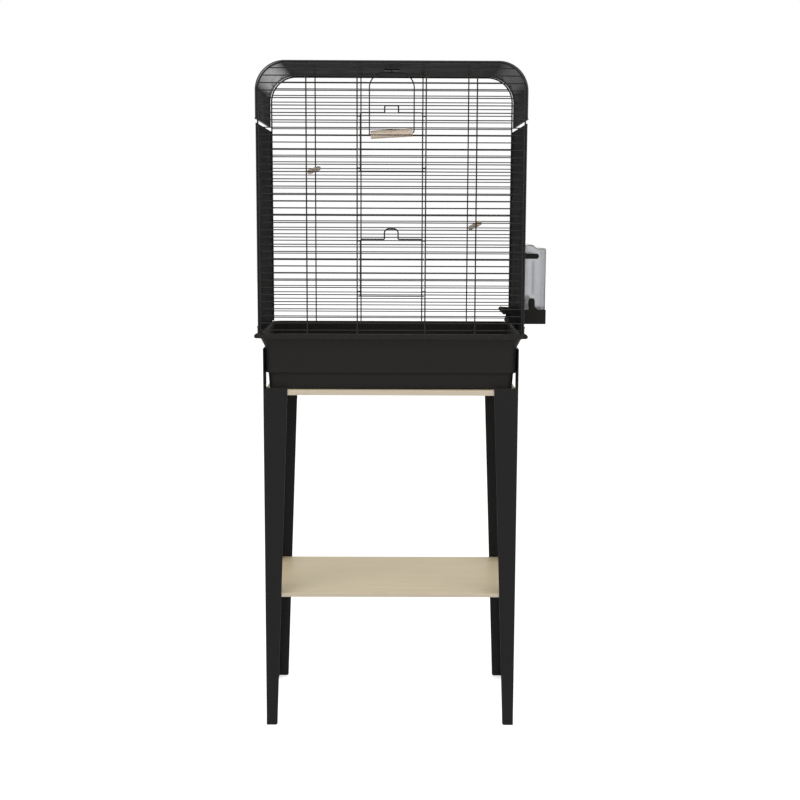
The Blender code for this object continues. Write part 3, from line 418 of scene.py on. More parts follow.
class Nodes:
    """Adds nodes to one shader tree, and keeps the coordinates that its patterns lie on."""

    def __init__(self, tree: NodeTree) -> None:
        """Starts on a tree, without coordinates."""
        self.tree = tree
        self.place: Optional[NodeSocket] = None

    def feed(self, value: Socket, socket: NodeSocket) -> None:
        """Links a socket to another, or sets it to a number, a vector or a colour.

        Args:
            value: What the socket takes.
            socket: The socket that is fed.
        """
        if isinstance(value, NodeSocket):
            self.tree.links.new(value, socket)
        else:
            socket.default_value = (*value, 1.0) if socket.type == "RGBA" else value

    def fill(self, node: Node, **values: Socket) -> None:
        """Feeds a node's inputs by their names, with underscores for spaces."""
        for name, value in values.items():
            self.feed(value, node.inputs[name.replace("_", " ")])

    def add(self, kind: str, **values: Socket) -> Node:
        """Adds a node and feeds its inputs.

        Args:
            kind: The shader node's kind.
            **values: What its inputs take, by their names.

        Returns:
            The node.
        """
        node = self.tree.nodes.new(f"ShaderNode{kind}")
        self.fill(node, **values)
        return node

    def noise(
        self, scale: Socket, detail: float, roughness: float, distortion: float = 0.0
    ) -> NodeSocket:
        """Adds a noise texture.

        Args:
            scale: Its scale.
            detail: How many octaves it has.
            roughness: How strong the fine octaves are.
            distortion: How much it is warped.

        Returns:
            The noise's value.
        """
        node = self.add(
            "TexNoise", Vector=self.place, Scale=scale, Detail=detail, Roughness=roughness,
            Distortion=distortion,
        )
        return node.outputs["Fac"]

    def span(
        self, value: NodeSocket, low: float, high: float, to_low: float, to_high: float
    ) -> NodeSocket:
        """Maps low..high to to_low..to_high, and holds it there."""
        ends = {"From_Min": low, "From_Max": high, "To_Min": to_low, "To_Max": to_high}
        return self.add("MapRange", Value=value, **ends).outputs["Result"]

    def math(self, operation: str, first: Socket, second: Socket = 0.0) -> NodeSocket:
        """Adds a math node.

        Args:
            operation: What it does.
            first: Its first value.
            second: Its second value.

        Returns:
            The result.
        """
        node = self.add("Math")
        node.operation = operation
        self.feed(first, node.inputs[0])
        self.feed(second, node.inputs[1])
        return node.outputs["Value"]

    def product(self, first: NodeSocket, *others: Socket) -> NodeSocket:
        """Multiplies values with each other.

        Args:
            first: The first value.
            *others: What it is multiplied by, one after the other.

        Returns:
            The product.
        """
        for other in others:
            first = self.math("MULTIPLY", first, other)
        return first

    def mix(self, mask: Socket, first: Socket, second: Socket, blend: str = "MIX") -> NodeSocket:
        """Mixes two colours by a mask.

        Args:
            mask: How much of the second colour shows.
            first: The first colour.
            second: The second colour.
            blend: How they are blended.

        Returns:
            The mixed colour.
        """
        node = self.add("Mix")
        node.data_type = "RGBA"
        node.blend_type = blend
        for value, index in ((mask, 0), (first, 6), (second, 7)):
            self.feed(value, node.inputs[index])
        return node.outputs[2]

    def bump(self, height: NodeSocket, depth: float) -> NodeSocket:
        """The normal of a relief with a depth in metres."""
        return self.add("Bump", Strength=1.0, Distance=depth, Height=height).outputs["Normal"]

    def axes(self, vector: NodeSocket) -> Outputs:
        """The X, Y and Z of a vector."""
        return self.add("SeparateXYZ", Vector=vector).outputs

    def facing(self) -> Outputs:
        """The X, Y and Z of the surface's normal."""
        return self.axes(self.add("NewGeometry").outputs["Normal"])


def surface_grain(nodes: Nodes, scale: NodeSocket) -> dict[str, NodeSocket]:
    """A fine all-over grain, as on moulded plastic and sprayed paint, and a slow drift."""
    return {"Height": nodes.noise(scale, 2.0, 0.55), "Drift": nodes.noise(14.0, 3.0, 0.5)}


def settled_dust(nodes: Nodes, amount: NodeSocket) -> dict[str, NodeSocket]:
    """A mask of fine dust on faces that look up, broken up by noise.

    Args:
        nodes: The group's nodes.
        amount: How much dust there is.

    Returns:
        The mask.
    """
    facing = nodes.span(nodes.facing()["Z"], 0.25, 1.0, 0.0, 1.0)
    broken = nodes.span(nodes.noise(60.0, 5.0, 0.6), 0.35, 0.75, 0.2, 1.0)
    return {"Mask": nodes.product(facing, broken, amount)}


def edge_wear(nodes: Nodes, amount: NodeSocket) -> dict[str, NodeSocket]:
    """A mask along convex edges, where a finish is handled most.

    Args:
        nodes: The group's nodes.
        amount: How strong the wear is.

    Returns:
        The mask.
    """
    pointed = nodes.add("NewGeometry").outputs["Pointiness"]
    sharp = nodes.span(pointed, 0.52, 0.62, 0.0, 1.0)
    broken = nodes.span(nodes.noise(180.0, 4.0, 0.6), 0.42, 0.62, 0.0, 1.0)
    return {"Mask": nodes.product(sharp, broken, amount)}


def wood_fibre(nodes: Nodes, scale: NodeSocket) -> dict[str, NodeSocket]:
    """Long fibres along X with slow bands and small flecks, for boards and dowels.

    Args:
        nodes: The group's nodes.
        scale: How fine the fibres are.

    Returns:
        The fibres, the bands and the flecks.
    """
    fleck = nodes.noise(420.0, 2.0, 0.5)
    stretched = nodes.add("Mapping", Vector=nodes.place, Scale=(0.06, 1.0, 1.0))
    nodes.place = stretched.outputs["Vector"]
    fibre = nodes.noise(scale, 6.0, 0.62, 0.3)
    return {"Fibre": fibre, "Band": nodes.noise(24.0, 2.0, 0.5, 0.8), "Fleck": fleck}


class Effects:
    """Shader node groups that several finishes share. Each one is built once."""

    def __init__(self) -> None:
        """Starts with no group built."""
        self.built: dict[str, NodeTree] = {}

    @staticmethod
    def build(recipe: Recipe, setting: str) -> NodeTree:
        """Builds a group with named inputs and outputs.

        Args:
            recipe: Fills the group and names its outputs.
            setting: The name of the number that it takes beside the coordinates.

        Returns:
            The group's tree.
        """
        tree = bpy.data.node_groups.new(recipe.__name__, "ShaderNodeTree")
        for label, kind in (("Vector", "NodeSocketVector"), (setting, "NodeSocketFloat")):
            tree.interface.new_socket(name=label, in_out="INPUT", socket_type=kind)
        source = tree.nodes.new("NodeGroupInput")
        nodes = Nodes(tree)
        nodes.place = source.outputs["Vector"]
        made = recipe(nodes, source.outputs[setting])
        for label in made:
            tree.interface.new_socket(name=label, in_out="OUTPUT", socket_type="NodeSocketFloat")
        nodes.fill(tree.nodes.new("NodeGroupOutput"), **made)
        return tree

    def use(self, nodes: Nodes, recipe: Recipe, setting: str, value: float) -> Outputs:
        """Places an effect's group in a material.

        Args:
            nodes: The material's nodes.
            recipe: The effect.
            setting: The name of the number that it takes.
            value: That number.

        Returns:
            The group's outputs.
        """
        name = recipe.__name__
        if name not in self.built:
            self.built[name] = self.build(recipe, setting)
        node = nodes.add("Group")
        node.node_tree = self.built[name]
        nodes.fill(node, Vector=nodes.place, **{setting: value})
        return node.outputs


@dataclass(frozen=True)
class Finish:
    """What every finish states about its surface."""

    name: str
    colour: Colour
    roughness: float
    specular: float = 0.5
    specular_tint: float = 1.0

    def material(self, effects: Effects) -> Material:
        """Builds the material.

        Args:
            effects: The shared groups.

        Returns:
            The material.
        """
        material = bpy.data.materials.new(self.name)
        material.use_nodes = True
        nodes = Nodes(material.node_tree)
        nodes.place = nodes.add("TexCoord").outputs["Object"]
        shader = material.node_tree.nodes["Principled BSDF"]
        nodes.fill(
            shader, Base_Color=self.colour, Roughness=self.roughness,
            Specular_IOR_Level=self.specular, Specular_Tint=(self.specular_tint,) * 3,
        )
        self.dress(nodes, shader, effects)
        return material

    def dress(self, nodes: Nodes, shader: Node, effects: Effects) -> None:
        """Adds what this kind of finish shows beside its plain colour."""
        raise NotImplementedError(self.name)

    def uneven(self, nodes: Nodes, drift: NodeSocket, less: float, more: float) -> NodeSocket:
        """A roughness that drifts from a little less to a little more than the finish's own."""
        return nodes.span(drift, 0.3, 0.7, self.roughness - less, self.roughness + more)


@dataclass(frozen=True)
class CoatFinish(Finish):
    """Black coatings and mouldings: a fine grain, a little dust and handled edges."""

    worn: Colour = (0.10, 0.10, 0.10)
    dusty: Colour = (0.20, 0.19, 0.18)
    grain_scale: float = 900.0
    grain_depth: float = 0.00002
    dust: float = 0.05
    wear: float = 0.25
    bend_gloss: Optional[Pair] = None
    bend_roughness: float = 0.18

    def dress(self, nodes: Nodes, shader: Node, effects: Effects) -> None:
        """Adds the grain, the dust, the wear and the glossy bends.

        Args:
            nodes: The material's nodes.
            shader: Its shader.
            effects: The shared groups.
        """
        grain = effects.use(nodes, surface_grain, "Scale", self.grain_scale)
        dust = effects.use(nodes, settled_dust, "Amount", self.dust)["Mask"]
        wear = effects.use(nodes, edge_wear, "Amount", self.wear)["Mask"]
        handled = nodes.mix(wear, self.colour, self.worn)
        nodes.fill(
            shader,
            Base_Color=nodes.mix(dust, handled, self.dusty),
            Roughness=nodes.math("ADD", self.uneven(nodes, grain["Drift"], 0.05, 0.05), dust),
            Normal=nodes.bump(grain["Height"], self.grain_depth),
        )
        if self.bend_gloss is not None:
            gloss = self.bends(nodes, *self.bend_gloss)
            nodes.fill(shader, Coat_Weight=gloss, Coat_Roughness=self.bend_roughness)

    @staticmethod
    def bends(nodes: Nodes, left: float, right: float) -> NodeSocket:
        """How glossy the paint is where the sheet is bent.

        Args:
            nodes: The material's nodes.
            left: The gloss at the left bend.
            right: The gloss at the right bend.

        Returns:
            The gloss.
        """
        facing = nodes.facing()
        slope = nodes.product(facing["X"], facing["Z"])
        on_left = nodes.span(slope, -0.50, -0.12, left, 0.0)
        on_right = nodes.span(slope, 0.12, 0.50, 0.0, right)
        return nodes.math("MAXIMUM", on_left, on_right)


@dataclass(frozen=True)
class WoodFinish(Finish):
    """Plain wood: fibres, slow bands and small flecks, along one axis."""

    dark: Colour = (0.42, 0.33, 0.21)
    contrast: float = 0.35
    fibre_scale: float = 260.0
    fibre_depth: float = 0.00006
    turn: Point = (0.0, 0.0, 0.0)
    # Painted shade for the upright edges: the colour they are multiplied by, if any.
    edge_shade: Optional[Colour] = None

    def dress(self, nodes: Nodes, shader: Node, effects: Effects) -> None:
        """Adds the wood's pattern, and painted shade on its upright edges.

        Args:
            nodes: The material's nodes.
            shader: Its shader.
            effects: The shared groups.
        """
        turned = nodes.add("Mapping", Vector=nodes.place, Rotation=self.turn)
        nodes.place = turned.outputs["Vector"]
        wood = effects.use(nodes, wood_fibre, "Scale", self.fibre_scale)
        streak = nodes.span(wood["Fibre"], 0.35, 0.70, 0.0, self.contrast)
        band = nodes.span(wood["Band"], 0.35, 0.70, 0.0, self.contrast * 0.7)
        fleck = nodes.span(wood["Fleck"], 0.60, 0.75, 0.0, self.contrast * 0.6)
        mask = nodes.math("ADD", nodes.math("MAXIMUM", streak, fleck), band)
        colour = nodes.mix(mask, self.colour, self.dark)
        # Painted shade: faces that stand upright are multiplied darker and cooler than the top.
        if self.edge_shade is not None:
            level = nodes.math("ABSOLUTE", nodes.facing()["Z"])
            edge = nodes.span(level, 0.3, 0.7, 1.0, 0.0)
            colour = nodes.mix(edge, colour, self.edge_shade, "MULTIPLY")
        nodes.fill(
            shader,
            Base_Color=colour,
            Roughness=self.uneven(nodes, wood["Fibre"], 0.06, 0.08),
            Normal=nodes.bump(wood["Fibre"], self.fibre_depth),
        )


@dataclass(frozen=True)
class ClearFinish(Finish):
    """Clear moulded plastic with a light smoky tint, faint flow marks, and bands of painted shade
    in its front: one stands in for the refraction through a rib, which is not modelled, and one
    lies beside the black side panel.
    """

    # The colour of the painted shade bands.
    refraction_shade: Colour = (0.30, 0.31, 0.32)
    front: Pair = (-0.030, -0.020)
    rib_x: float = 0.2564
    rib_width: Pair = (0.0005, 0.0045)
    rib_foot: Pair = (0.8440, 0.8520)
    rib_head: Pair = (0.9080, 0.9140)
    root: Pair = (0.2385, 0.2490)
    refraction: float = 1.49
    flow_scale: float = 220.0
    flow_depth: float = 0.0004

    def dress(self, nodes: Nodes, shader: Node, effects: Effects) -> None:
        """Makes it clear, with bands of painted shade in its front wall.

        Args:
            nodes: The material's nodes.
            shader: Its shader.
            effects: The shared groups.
        """
        flow = effects.use(nodes, surface_grain, "Scale", self.flow_scale)["Drift"]
        nodes.fill(
            shader,
            Transmission_Weight=1.0,
            IOR=self.refraction,
            # Painted shade: darker bands in the front wall, by its rib and beside the side panel.
            Base_Color=nodes.mix(self.painted_shade_bands(nodes), self.colour, self.refraction_shade),
            Roughness=self.uneven(nodes, flow, 0.04, 0.06),
            Normal=nodes.bump(flow, self.flow_depth),
        )

    def painted_shade_bands(self, nodes: Nodes) -> NodeSocket:
        """A mask of painted shade in the front wall: an upright band for the refraction through a
        rib, and a band beside the black side panel.

        Args:
            nodes: The material's nodes.

        Returns:
            The mask.
        """
        place = nodes.axes(nodes.place)
        front = nodes.span(place["Y"], *self.front, 1.0, 0.0)
        away = nodes.math("ABSOLUTE", nodes.math("SUBTRACT", place["X"], self.rib_x))
        rib = nodes.span(away, *self.rib_width, 1.0, 0.0)
        foot = nodes.span(place["Z"], *self.rib_foot, 0.0, 1.0)
        head = nodes.span(place["Z"], *self.rib_head, 1.0, 0.0)
        root = nodes.span(place["X"], *self.root, 1.0, 0.0)
        both = nodes.math("MAXIMUM", nodes.product(foot, head, rib), root)
        return nodes.product(both, front)


@dataclass(frozen=True)
class MetalFinish(Finish):
    """Zinc plated steel with fine turning marks."""

    mark_scale: float = 1600.0
    mark_depth: float = 0.00001

    def dress(self, nodes: Nodes, shader: Node, effects: Effects) -> None:
        """Adds the turning marks.

        Args:
            nodes: The material's nodes.
            shader: Its shader.
            effects: The shared groups.
        """
        marks = effects.use(nodes, surface_grain, "Scale", self.mark_scale)["Height"]
        nodes.fill(
            shader,
            Metallic=1.0,
            Roughness=self.uneven(nodes, marks, 0.08, 0.12),
            Normal=nodes.bump(marks, self.mark_depth),
        )


CATALOGUE: tuple[Finish, ...] = (
    CoatFinish(
        "gloss_roof", (0.012, 0.012, 0.013), 0.16, 0.5, 0.55, grain_depth=0.000004, dust=0.0
    ),
    CoatFinish(
        "roof_lining", (0.018, 0.018, 0.019), 0.34, 0.0007, 1.0, grain_depth=0.000004, dust=0.0,
        wear=0.0, bend_gloss=(0.85, 0.18),
    ),
    CoatFinish(
        "side_lining", (0.0250, 0.0248, 0.0255), 0.50, 0.0007, 1.0, grain_depth=0.000008, dust=0.0,
        wear=0.0,
    ),
    CoatFinish(
        "satin_side", (0.016, 0.016, 0.017), 0.42, 0.4, 0.35, grain_depth=0.000001, dust=0.02,
        wear=0.0,
    ),
    CoatFinish(
        "moulded_black", (0.0190, 0.0172, 0.0165), 0.42, 0.05, 0.6, grain_depth=0.000012
    ),
    CoatFinish(
        "feeder_black", (0.0205, 0.0195, 0.0190), 0.45, 0.001, 0.6, grain_depth=0.000012, wear=0.0
    ),
    CoatFinish(
        "powder_coat", (0.0150, 0.0145, 0.0145), 0.50, 0.2, 0.25, grain_scale=1400.0, wear=0.02
    ),
    CoatFinish("coated_wire", (0.020, 0.017, 0.015), 0.34, 0.3, 0.40, dust=0.0, wear=0.0),
    WoodFinish(
        "pale_board", (0.669, 0.571, 0.386), 0.46, dark=(0.556, 0.458, 0.292), contrast=0.30,
        # The board's upright edges get painted shade.
        edge_shade=(0.734, 0.742, 0.849),
    ),
    WoodFinish("cross_dowel", (0.850, 0.720, 0.595), 0.58, dark=(0.600, 0.430, 0.300)),
    WoodFinish(
        "long_dowel", (0.400, 0.310, 0.220), 0.58, dark=(0.200, 0.140, 0.090), contrast=0.6,
        turn=(0.0, 0.0, math.pi / 2),
    ),
    ClearFinish("smoky_clear", (0.516, 0.526, 0.540), 0.10, 0.12),
    MetalFinish("zinc_screw", (0.560, 0.560, 0.550), 0.30),
)


def add_object(name: str, data: bpy.types.ID) -> Object:
    """Puts a mesh, a light or a camera in the scene.

    Args:
        name: The object's name.
        data: What it holds.

    Returns:
        The object.
    """
    item = bpy.data.objects.new(name, data)
    bpy.context.scene.collection.objects.link(item)
    return item


def add_mesh(name: str, bm: BMesh) -> Object:
    """Puts a bmesh in the scene and frees it.

    Args:
        name: The name of the object and its mesh.
        bm: The shape.

    Returns:
        The object.
    """
    mesh = bpy.data.meshes.new(name)
    bm.to_mesh(mesh)
    bm.free()
    return add_object(name, mesh)


class Workshop:
    """Turns a bmesh into a finished piece in its place, and counts what was made."""

    def __init__(self) -> None:
        """Starts with the catalogue, no material and no piece."""
        self.finishes = {finish.name: finish for finish in CATALOGUE}
        self.effects = Effects()
        self.materials: dict[str, Material] = {}
        self.offset = datum()
        self.count = 0

    def material(self, name: str) -> Material:
        """The material of a finish, made when it is first asked for.

        Args:
            name: The finish's name.

        Returns:
            The material.
        """
        if name not in self.materials:
            self.materials[name] = self.finishes[name].material(self.effects)
        return self.materials[name]

    def finish(
        self, bm: BMesh, name: str, body: Body, slot: Slot, finish: str, node: str,
        smooth: float = 35.0, wall: Optional[float] = None, edge: Optional[float] = None,
        lining: Optional[str] = None, cutter: Optional[BMesh] = None,
    ) -> None:
        """Makes an object of a bmesh, dresses it and lets it ride on its body.

        Args:
            bm: The piece's shape about the middle of the cage. It is freed.
            name: The piece's name.
            body: The body that the piece moves with.
            slot: The record's slot that its finish stands for. It is not used.
            finish: The name of its finish.
            node: The solid that it stands for.
            smooth: The angle in degrees above which an edge stays sharp.
            wall: The thickness that a sheet gets towards its back, if it is one.
            edge: The width of a rounding along its edges, if it gets one.
            lining: The finish of a sheet's back, if it has one of its own.
            cutter: The shape that is cut out of it, if there is one. It is freed.
        """
        bmesh.ops.remove_doubles(bm, verts=bm.verts, dist=MERGE)
        if wall is None:
            bmesh.ops.recalc_face_normals(bm, faces=bm.faces)
        bmesh.ops.translate(bm, vec=self.offset, verts=bm.verts)
        piece = add_mesh(name, bm)
        mesh = piece.data
        mesh.shade_smooth()
        if wall is not None:
            solid = piece.modifiers.new("wall", "SOLIDIFY")
            solid.thickness = wall
            solid.offset = -1.0
            solid.use_even_offset = True
            solid.material_offset = 1 if lining else 0
        if edge is not None:
            soft = piece.modifiers.new("edge", "BEVEL")
            soft.width = edge
            soft.segments = 3
            soft.limit_method = "ANGLE"
            soft.angle_limit = math.radians(50.0)
        piece.modifiers.new("level", "WEIGHTED_NORMAL").keep_sharp = True
        mesh.set_sharp_from_angle(angle=math.radians(smooth))
        for coat in filter(None, (finish, lining)):
            mesh.materials.append(self.material(coat))
        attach(piece, body.value)
        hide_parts(node)
        self.count += 1
        LOG.info("%s: %d faces, %s", name, len(mesh.polygons), finish)
        if cutter is not None:
            self.carve(piece, cutter)

    def carve(self, piece: Object, cutter: BMesh) -> None:
        """Cuts a shape out of a piece and keeps only the result.

        Args:
            piece: The piece that is cut.
            cutter: The shape, about the middle of the cage. It is freed.
        """
        blade = add_mesh("cutter", cutter)
        blade.location = self.offset
        modifier = piece.modifiers.new("carve", "BOOLEAN")
        modifier.operation = "DIFFERENCE"
        modifier.solver = "EXACT"
        modifier.object = blade
        bpy.context.view_layer.update()
        graph = bpy.context.evaluated_depsgraph_get()
        mesh = bpy.data.meshes.new_from_object(piece.evaluated_get(graph))
        piece.modifiers.clear()
        piece.data = mesh
        mesh.name = piece.name
        bpy.data.objects.remove(blade, do_unlink=True)


@dataclass
class Assembly:
    """A group of pieces: its sizes in metres and the workshop that finishes its pieces."""

    shop: Workshop

    def build(self) -> None:
        """Makes the group's pieces."""
        raise NotImplementedError(type(self).__name__)


@dataclass
class Stand(Assembly):
    """Four tapered legs of folded sheet with a board and a shelf."""

    span_x: float = 0.4866
    span_y: float = 0.2660
    sheet: float = 0.0018
    foot_width: float = 0.0213
    top_width: float = 0.0465
    lip_top: float = 0.6720
    tab_top: float = 0.7470
    foot_round: float = 0.0040
    tab_round: float = 0.0120
    fold_round: float = 0.0020
    fold_steps: int = 6
    board_top: float = 0.6680
    board_thick: float = 0.0103
    board_edge: float = 0.0009
    shelf_top: float = 0.2670
    shelf_thick: float = 0.0070
    board_gap: float = 0.0021
    support_reach: float = 0.0270
    support_round: float = 0.0040
    screw_inset: float = 0.0110
    shank: float = 0.0019
    thread_root: float = 0.0015
    thread_pitch: float = 0.0008
    thread_top: float = 0.0040
    thread_turns: int = 5
    recess_half: Pair = (0.0004, 0.0017)
    recess_span: Pair = (-0.0033, -0.0017)

    def flanges(self, bm: BMesh) -> None:
        """Adds the rear right leg's two flanges, folded at the outer corner.

        Args:
            bm: The mesh that takes them.
        """
        half_x, half_y, fold = self.span_x / 2, self.span_y / 2, self.fold_round
        bend: list[Spot] = []
        for step in range(self.fold_steps + 1):
            angle = math.pi / 2 * step / self.fold_steps
            bend.append(
                (half_x - fold + fold * math.cos(angle), half_y - fold + fold * math.sin(angle))
            )
        rows: list[list[BMVert]] = []
        for width, height in ((self.foot_width, 0.0), (self.top_width, self.lip_top)):
            line = [(half_x, half_y - width), *bend, (half_x - width, half_y)]
            rows.append([bm.verts.new((x, y, height)) for x, y in line])
        foot, top = rows
        outer = top[: len(top) // 2 + 1]
        tall = [bm.verts.new((vert.co.x, vert.co.y, self.tab_top)) for vert in outer]
        for low, high in ((foot, top), (top, tall)):
            for index in range(len(high) - 1):
                bm.faces.new((low[index], low[index + 1], high[index + 1], high[index]))
        for vert in (foot[0], foot[-1]):
            bevel(bm, [vert], self.foot_round, 6, "VERTICES")
        bevel(bm, [tall[0]], self.tab_round, 6, "VERTICES")

    def leg(self, corner: str) -> None:
        """Makes one leg, with its two support tabs as part of the same piece.

        Args:
            corner: Which corner it stands at.
        """
        bm = bmesh.new()
        self.flanges(bm)
        bmesh.ops.recalc_face_normals(bm, faces=bm.faces)
        probe = max(bm.faces, key=lambda face: face.calc_area())
        if probe.normal.dot(probe.calc_center_median() * Vector((1.0, 1.0, 0.0))) < 0.0:
            bmesh.ops.reverse_faces(bm, faces=bm.faces)
        bmesh.ops.solidify(bm, geom=bm.faces, thickness=self.sheet)
        SheetBench.soften(bm, EASE, 60.0, 2)
        x, y = self.span_x / 2 - self.sheet / 2, self.span_y / 2 - self.sheet / 2
        inner_x = self.span_x / 2 - self.sheet - self.support_reach
        inner_y = self.span_y / 2 - self.sheet - self.support_reach
        soft = self.support_round
        tab = rounded([(x, y, 0.0), (inner_x, y, soft), (x, inner_y, soft)], 4)
        for under in (self.board_top - self.board_thick, self.shelf_top - self.shelf_thick):
            SheetBench.slab(bm, tab, Plane.XY, under - GAP - self.sheet, under - GAP)
        mirror = Matrix.Diagonal((*CORNERS[corner], 1.0, 1.0))
        bmesh.ops.transform(bm, matrix=mirror, verts=bm.verts)
        self.shop.finish(
            bm, f"tapered_leg_{corner}", Body.STAND, Slot.PAINT, "powder_coat", f"leg_{corner}"
        )

    def board(self, name: str, node: str, top: float, thick: float) -> None:
        """Makes a board with its edges eased.

        Args:
            name: The piece's name.
            node: The solid that it stands for.
            top: The height of its upper face.
            thick: Its thickness.
        """
        x, y = self.span_x / 2 - self.board_gap, self.span_y / 2 - self.board_gap
        bm = bmesh.new()
        SheetBench.slab(bm, [(-x, -y), (x, -y), (x, y), (-x, y)], Plane.XY, top - thick, top)
        SheetBench.soften(bm, self.board_edge)
        self.shop.finish(bm, name, Body.STAND, Slot.BOARD, "pale_board", node)

    def screw(self, level: str, under: float, corner: str) -> None:
        """Makes one screw with a domed head and a cross recess.

        Args:
            level: Whether it holds the board or the shelf.
            under: The height of that board's lower face.
            corner: Which corner it is at.
        """
        side_x, side_y = CORNERS[corner]
        x = side_x * (self.span_x / 2 - self.sheet - self.screw_inset)
        y = side_y * (self.span_y / 2 - self.sheet - self.screw_inset)
        seat = under - GAP - self.sheet
        profile: list[Spot] = [(0.0, 0.0067), (0.0010, 0.0060), (self.shank, 0.0045)]
        for turn in range(self.thread_turns):
            height = self.thread_top - turn * self.thread_pitch
            profile += [(self.shank, height), (self.thread_root, height - self.thread_pitch / 2)]
        profile += [(self.shank, -0.0003), (0.0034, -0.0003), (0.0036, -0.0006)]
        profile += [(0.0034, -0.0013), (0.0026, -0.0020), (0.0012, -0.0024), (0.0, -0.0025)]
        bm = bmesh.new()
        SheetBench.turned(bm, profile, 20, Matrix.Translation((x, y, seat)))
        slim, reach = self.recess_half
        arm = [(reach, -slim), (reach, slim), (slim, slim)]
        plus: list[Spot] = []
        for _ in range(4):
            plus += [(x + across, y + along) for across, along in arm]
            arm = [(-along, across) for across, along in arm]
        cross = bmesh.new()
        SheetBench.slab(cross, plus, Plane.XY, *(seat + height for height in self.recess_span))
        self.shop.finish(
            bm, f"{level}_cross_screw_{corner}", Body.STAND, Slot.SCREW, "zinc_screw",
            f"{level}_screw_{corner}", cutter=cross,
        )

    def build(self) -> None:
        """Makes the legs, the boards and their screws."""
        for corner in CORNERS:
            self.leg(corner)
        self.board("cage_board", "upper_board", self.board_top, self.board_thick)
        self.board("low_shelf", "lower_shelf", self.shelf_top, self.shelf_thick)
        for corner in CORNERS:
            self.screw("board", self.board_top - self.board_thick, corner)
            self.screw("shelf", self.shelf_top - self.shelf_thick, corner)


@dataclass
class BaseTub(Assembly):
    """The deep base with its turned-down rim, stepped foot and latch lugs."""

    half_x: float = 0.2520
    bottom: float = 0.6683
    rim_top: float = 0.7760
    wall: float = 0.0025
    corner: float = 0.0220
    lip: float = 0.0100
    ledge: float = 0.0035
    shoulder: float = 0.0108
    shoulder_drop: float = 0.0260
    draft: float = 0.0004
    foot_height: float = 0.0315
    foot_step: float = 0.0062
    foot_draft: float = 0.0016
    lug_thick: float = 0.0020
    lug_gap: float = 0.0083
    lug_round: float = 0.0040

    def levels(self) -> list[Spot]:
        """The shell's inset and height, from under its foot to its floor inside.

        Returns:
            Each level's inset from the rim's outline, and its height.
        """
        step = self.bottom + self.foot_height
        lip = self.rim_top - self.lip
        turn = self.rim_top - self.shoulder_drop
        wall = self.shoulder + self.draft
        foot = wall + self.foot_step
        floor = foot + self.foot_draft
        inner = self.wall
        return [
            (floor + 0.0030, self.bottom),
            (floor + 0.0012, self.bottom + 0.0006),
            (floor + 0.0002, self.bottom + 0.0020),
            (floor, self.bottom + 0.0030),
            (foot, step - inner - 0.0018),
            (foot - 0.0006, step - 0.0010),
            (foot - 0.0018, step - 0.0001),
            (wall + 0.0030, step),
            (wall + 0.0012, step + 0.0006),
            (wall + 0.0002, step + 0.0020),
            (wall, step + 0.0030),
            (self.shoulder + 0.0001, turn - 0.0012),
            (self.shoulder - 0.0004, turn + 0.0012),
            (self.ledge + 0.0006, lip - 0.0014),
            (self.ledge - 0.0001, lip - 0.0004),
            (self.ledge - 0.0008, lip),
            (0.0006, lip),
            (0.0001, lip + 0.0002),
            (0.0, lip + 0.0008),
            (0.0, self.rim_top - 0.0012),
            (0.0003, self.rim_top - 0.0004),
            (0.0010, self.rim_top),
            (self.ledge + inner - 0.0012, self.rim_top),
            (self.ledge + inner - 0.0002, self.rim_top - 0.0004),
            (self.ledge + inner, self.rim_top - 0.0012),
            (self.shoulder + inner - 0.0002, turn + 0.0012),
            (self.shoulder + inner, turn - 0.0010),
            (wall + inner, step + 0.0030),
            (wall + inner + 0.0008, step + inner + 0.0008),
            (wall + inner + 0.0030, step + inner),
            (foot + inner, step + inner - 0.0010),
            (floor + inner, self.bottom + inner + 0.0030),
            (floor + inner + 0.0010, self.bottom + inner + 0.0008),
            (floor + inner + 0.0030, self.bottom + inner),
        ]

    def lugs(self, bm: BMesh) -> None:
        """Adds a pair of round-nosed lugs for each latch.

        Args:
            bm: The mesh that takes them.
        """
        latch_x, latch_y, latch_z = LATCH
        root = self.half_x - self.wall / 2 - latch_x
        outline: list[Spot] = [(root, -self.lug_round)]
        for step in range(13):
            angle = -math.pi / 2 + math.pi * step / 12
            outline.append((self.lug_round * math.cos(angle), self.lug_round * math.sin(angle)))
        outline.append((root, self.lug_round))
        for side_x, side_y in CORNERS.values():
            placed = [(side_x * (latch_x + across), latch_z + up) for across, up in outline]
            for end in (-1, 1):
                near = side_y * latch_y + end * self.lug_gap
                SheetBench.slab(bm, placed, Plane.XZ, near, near + end * self.lug_thick)

    def build(self) -> None:
        """Makes the tub with its lugs."""
        bm = bmesh.new()
        levels = [
            SheetBench.rim(
                self.half_x - inset, HALF_DEPTH - inset, self.corner - inset / 2, height
            )
            for inset, height in self.levels()
        ]
        SheetBench.raise_shell(bm, levels)
        bmesh.ops.recalc_face_normals(bm, faces=bm.faces)
        self.lugs(bm)
        self.shop.finish(
            bm, "moulded_tub", Body.CAGE, Slot.MOULDING, "moulded_black", "base_tub", smooth=50.0
        )


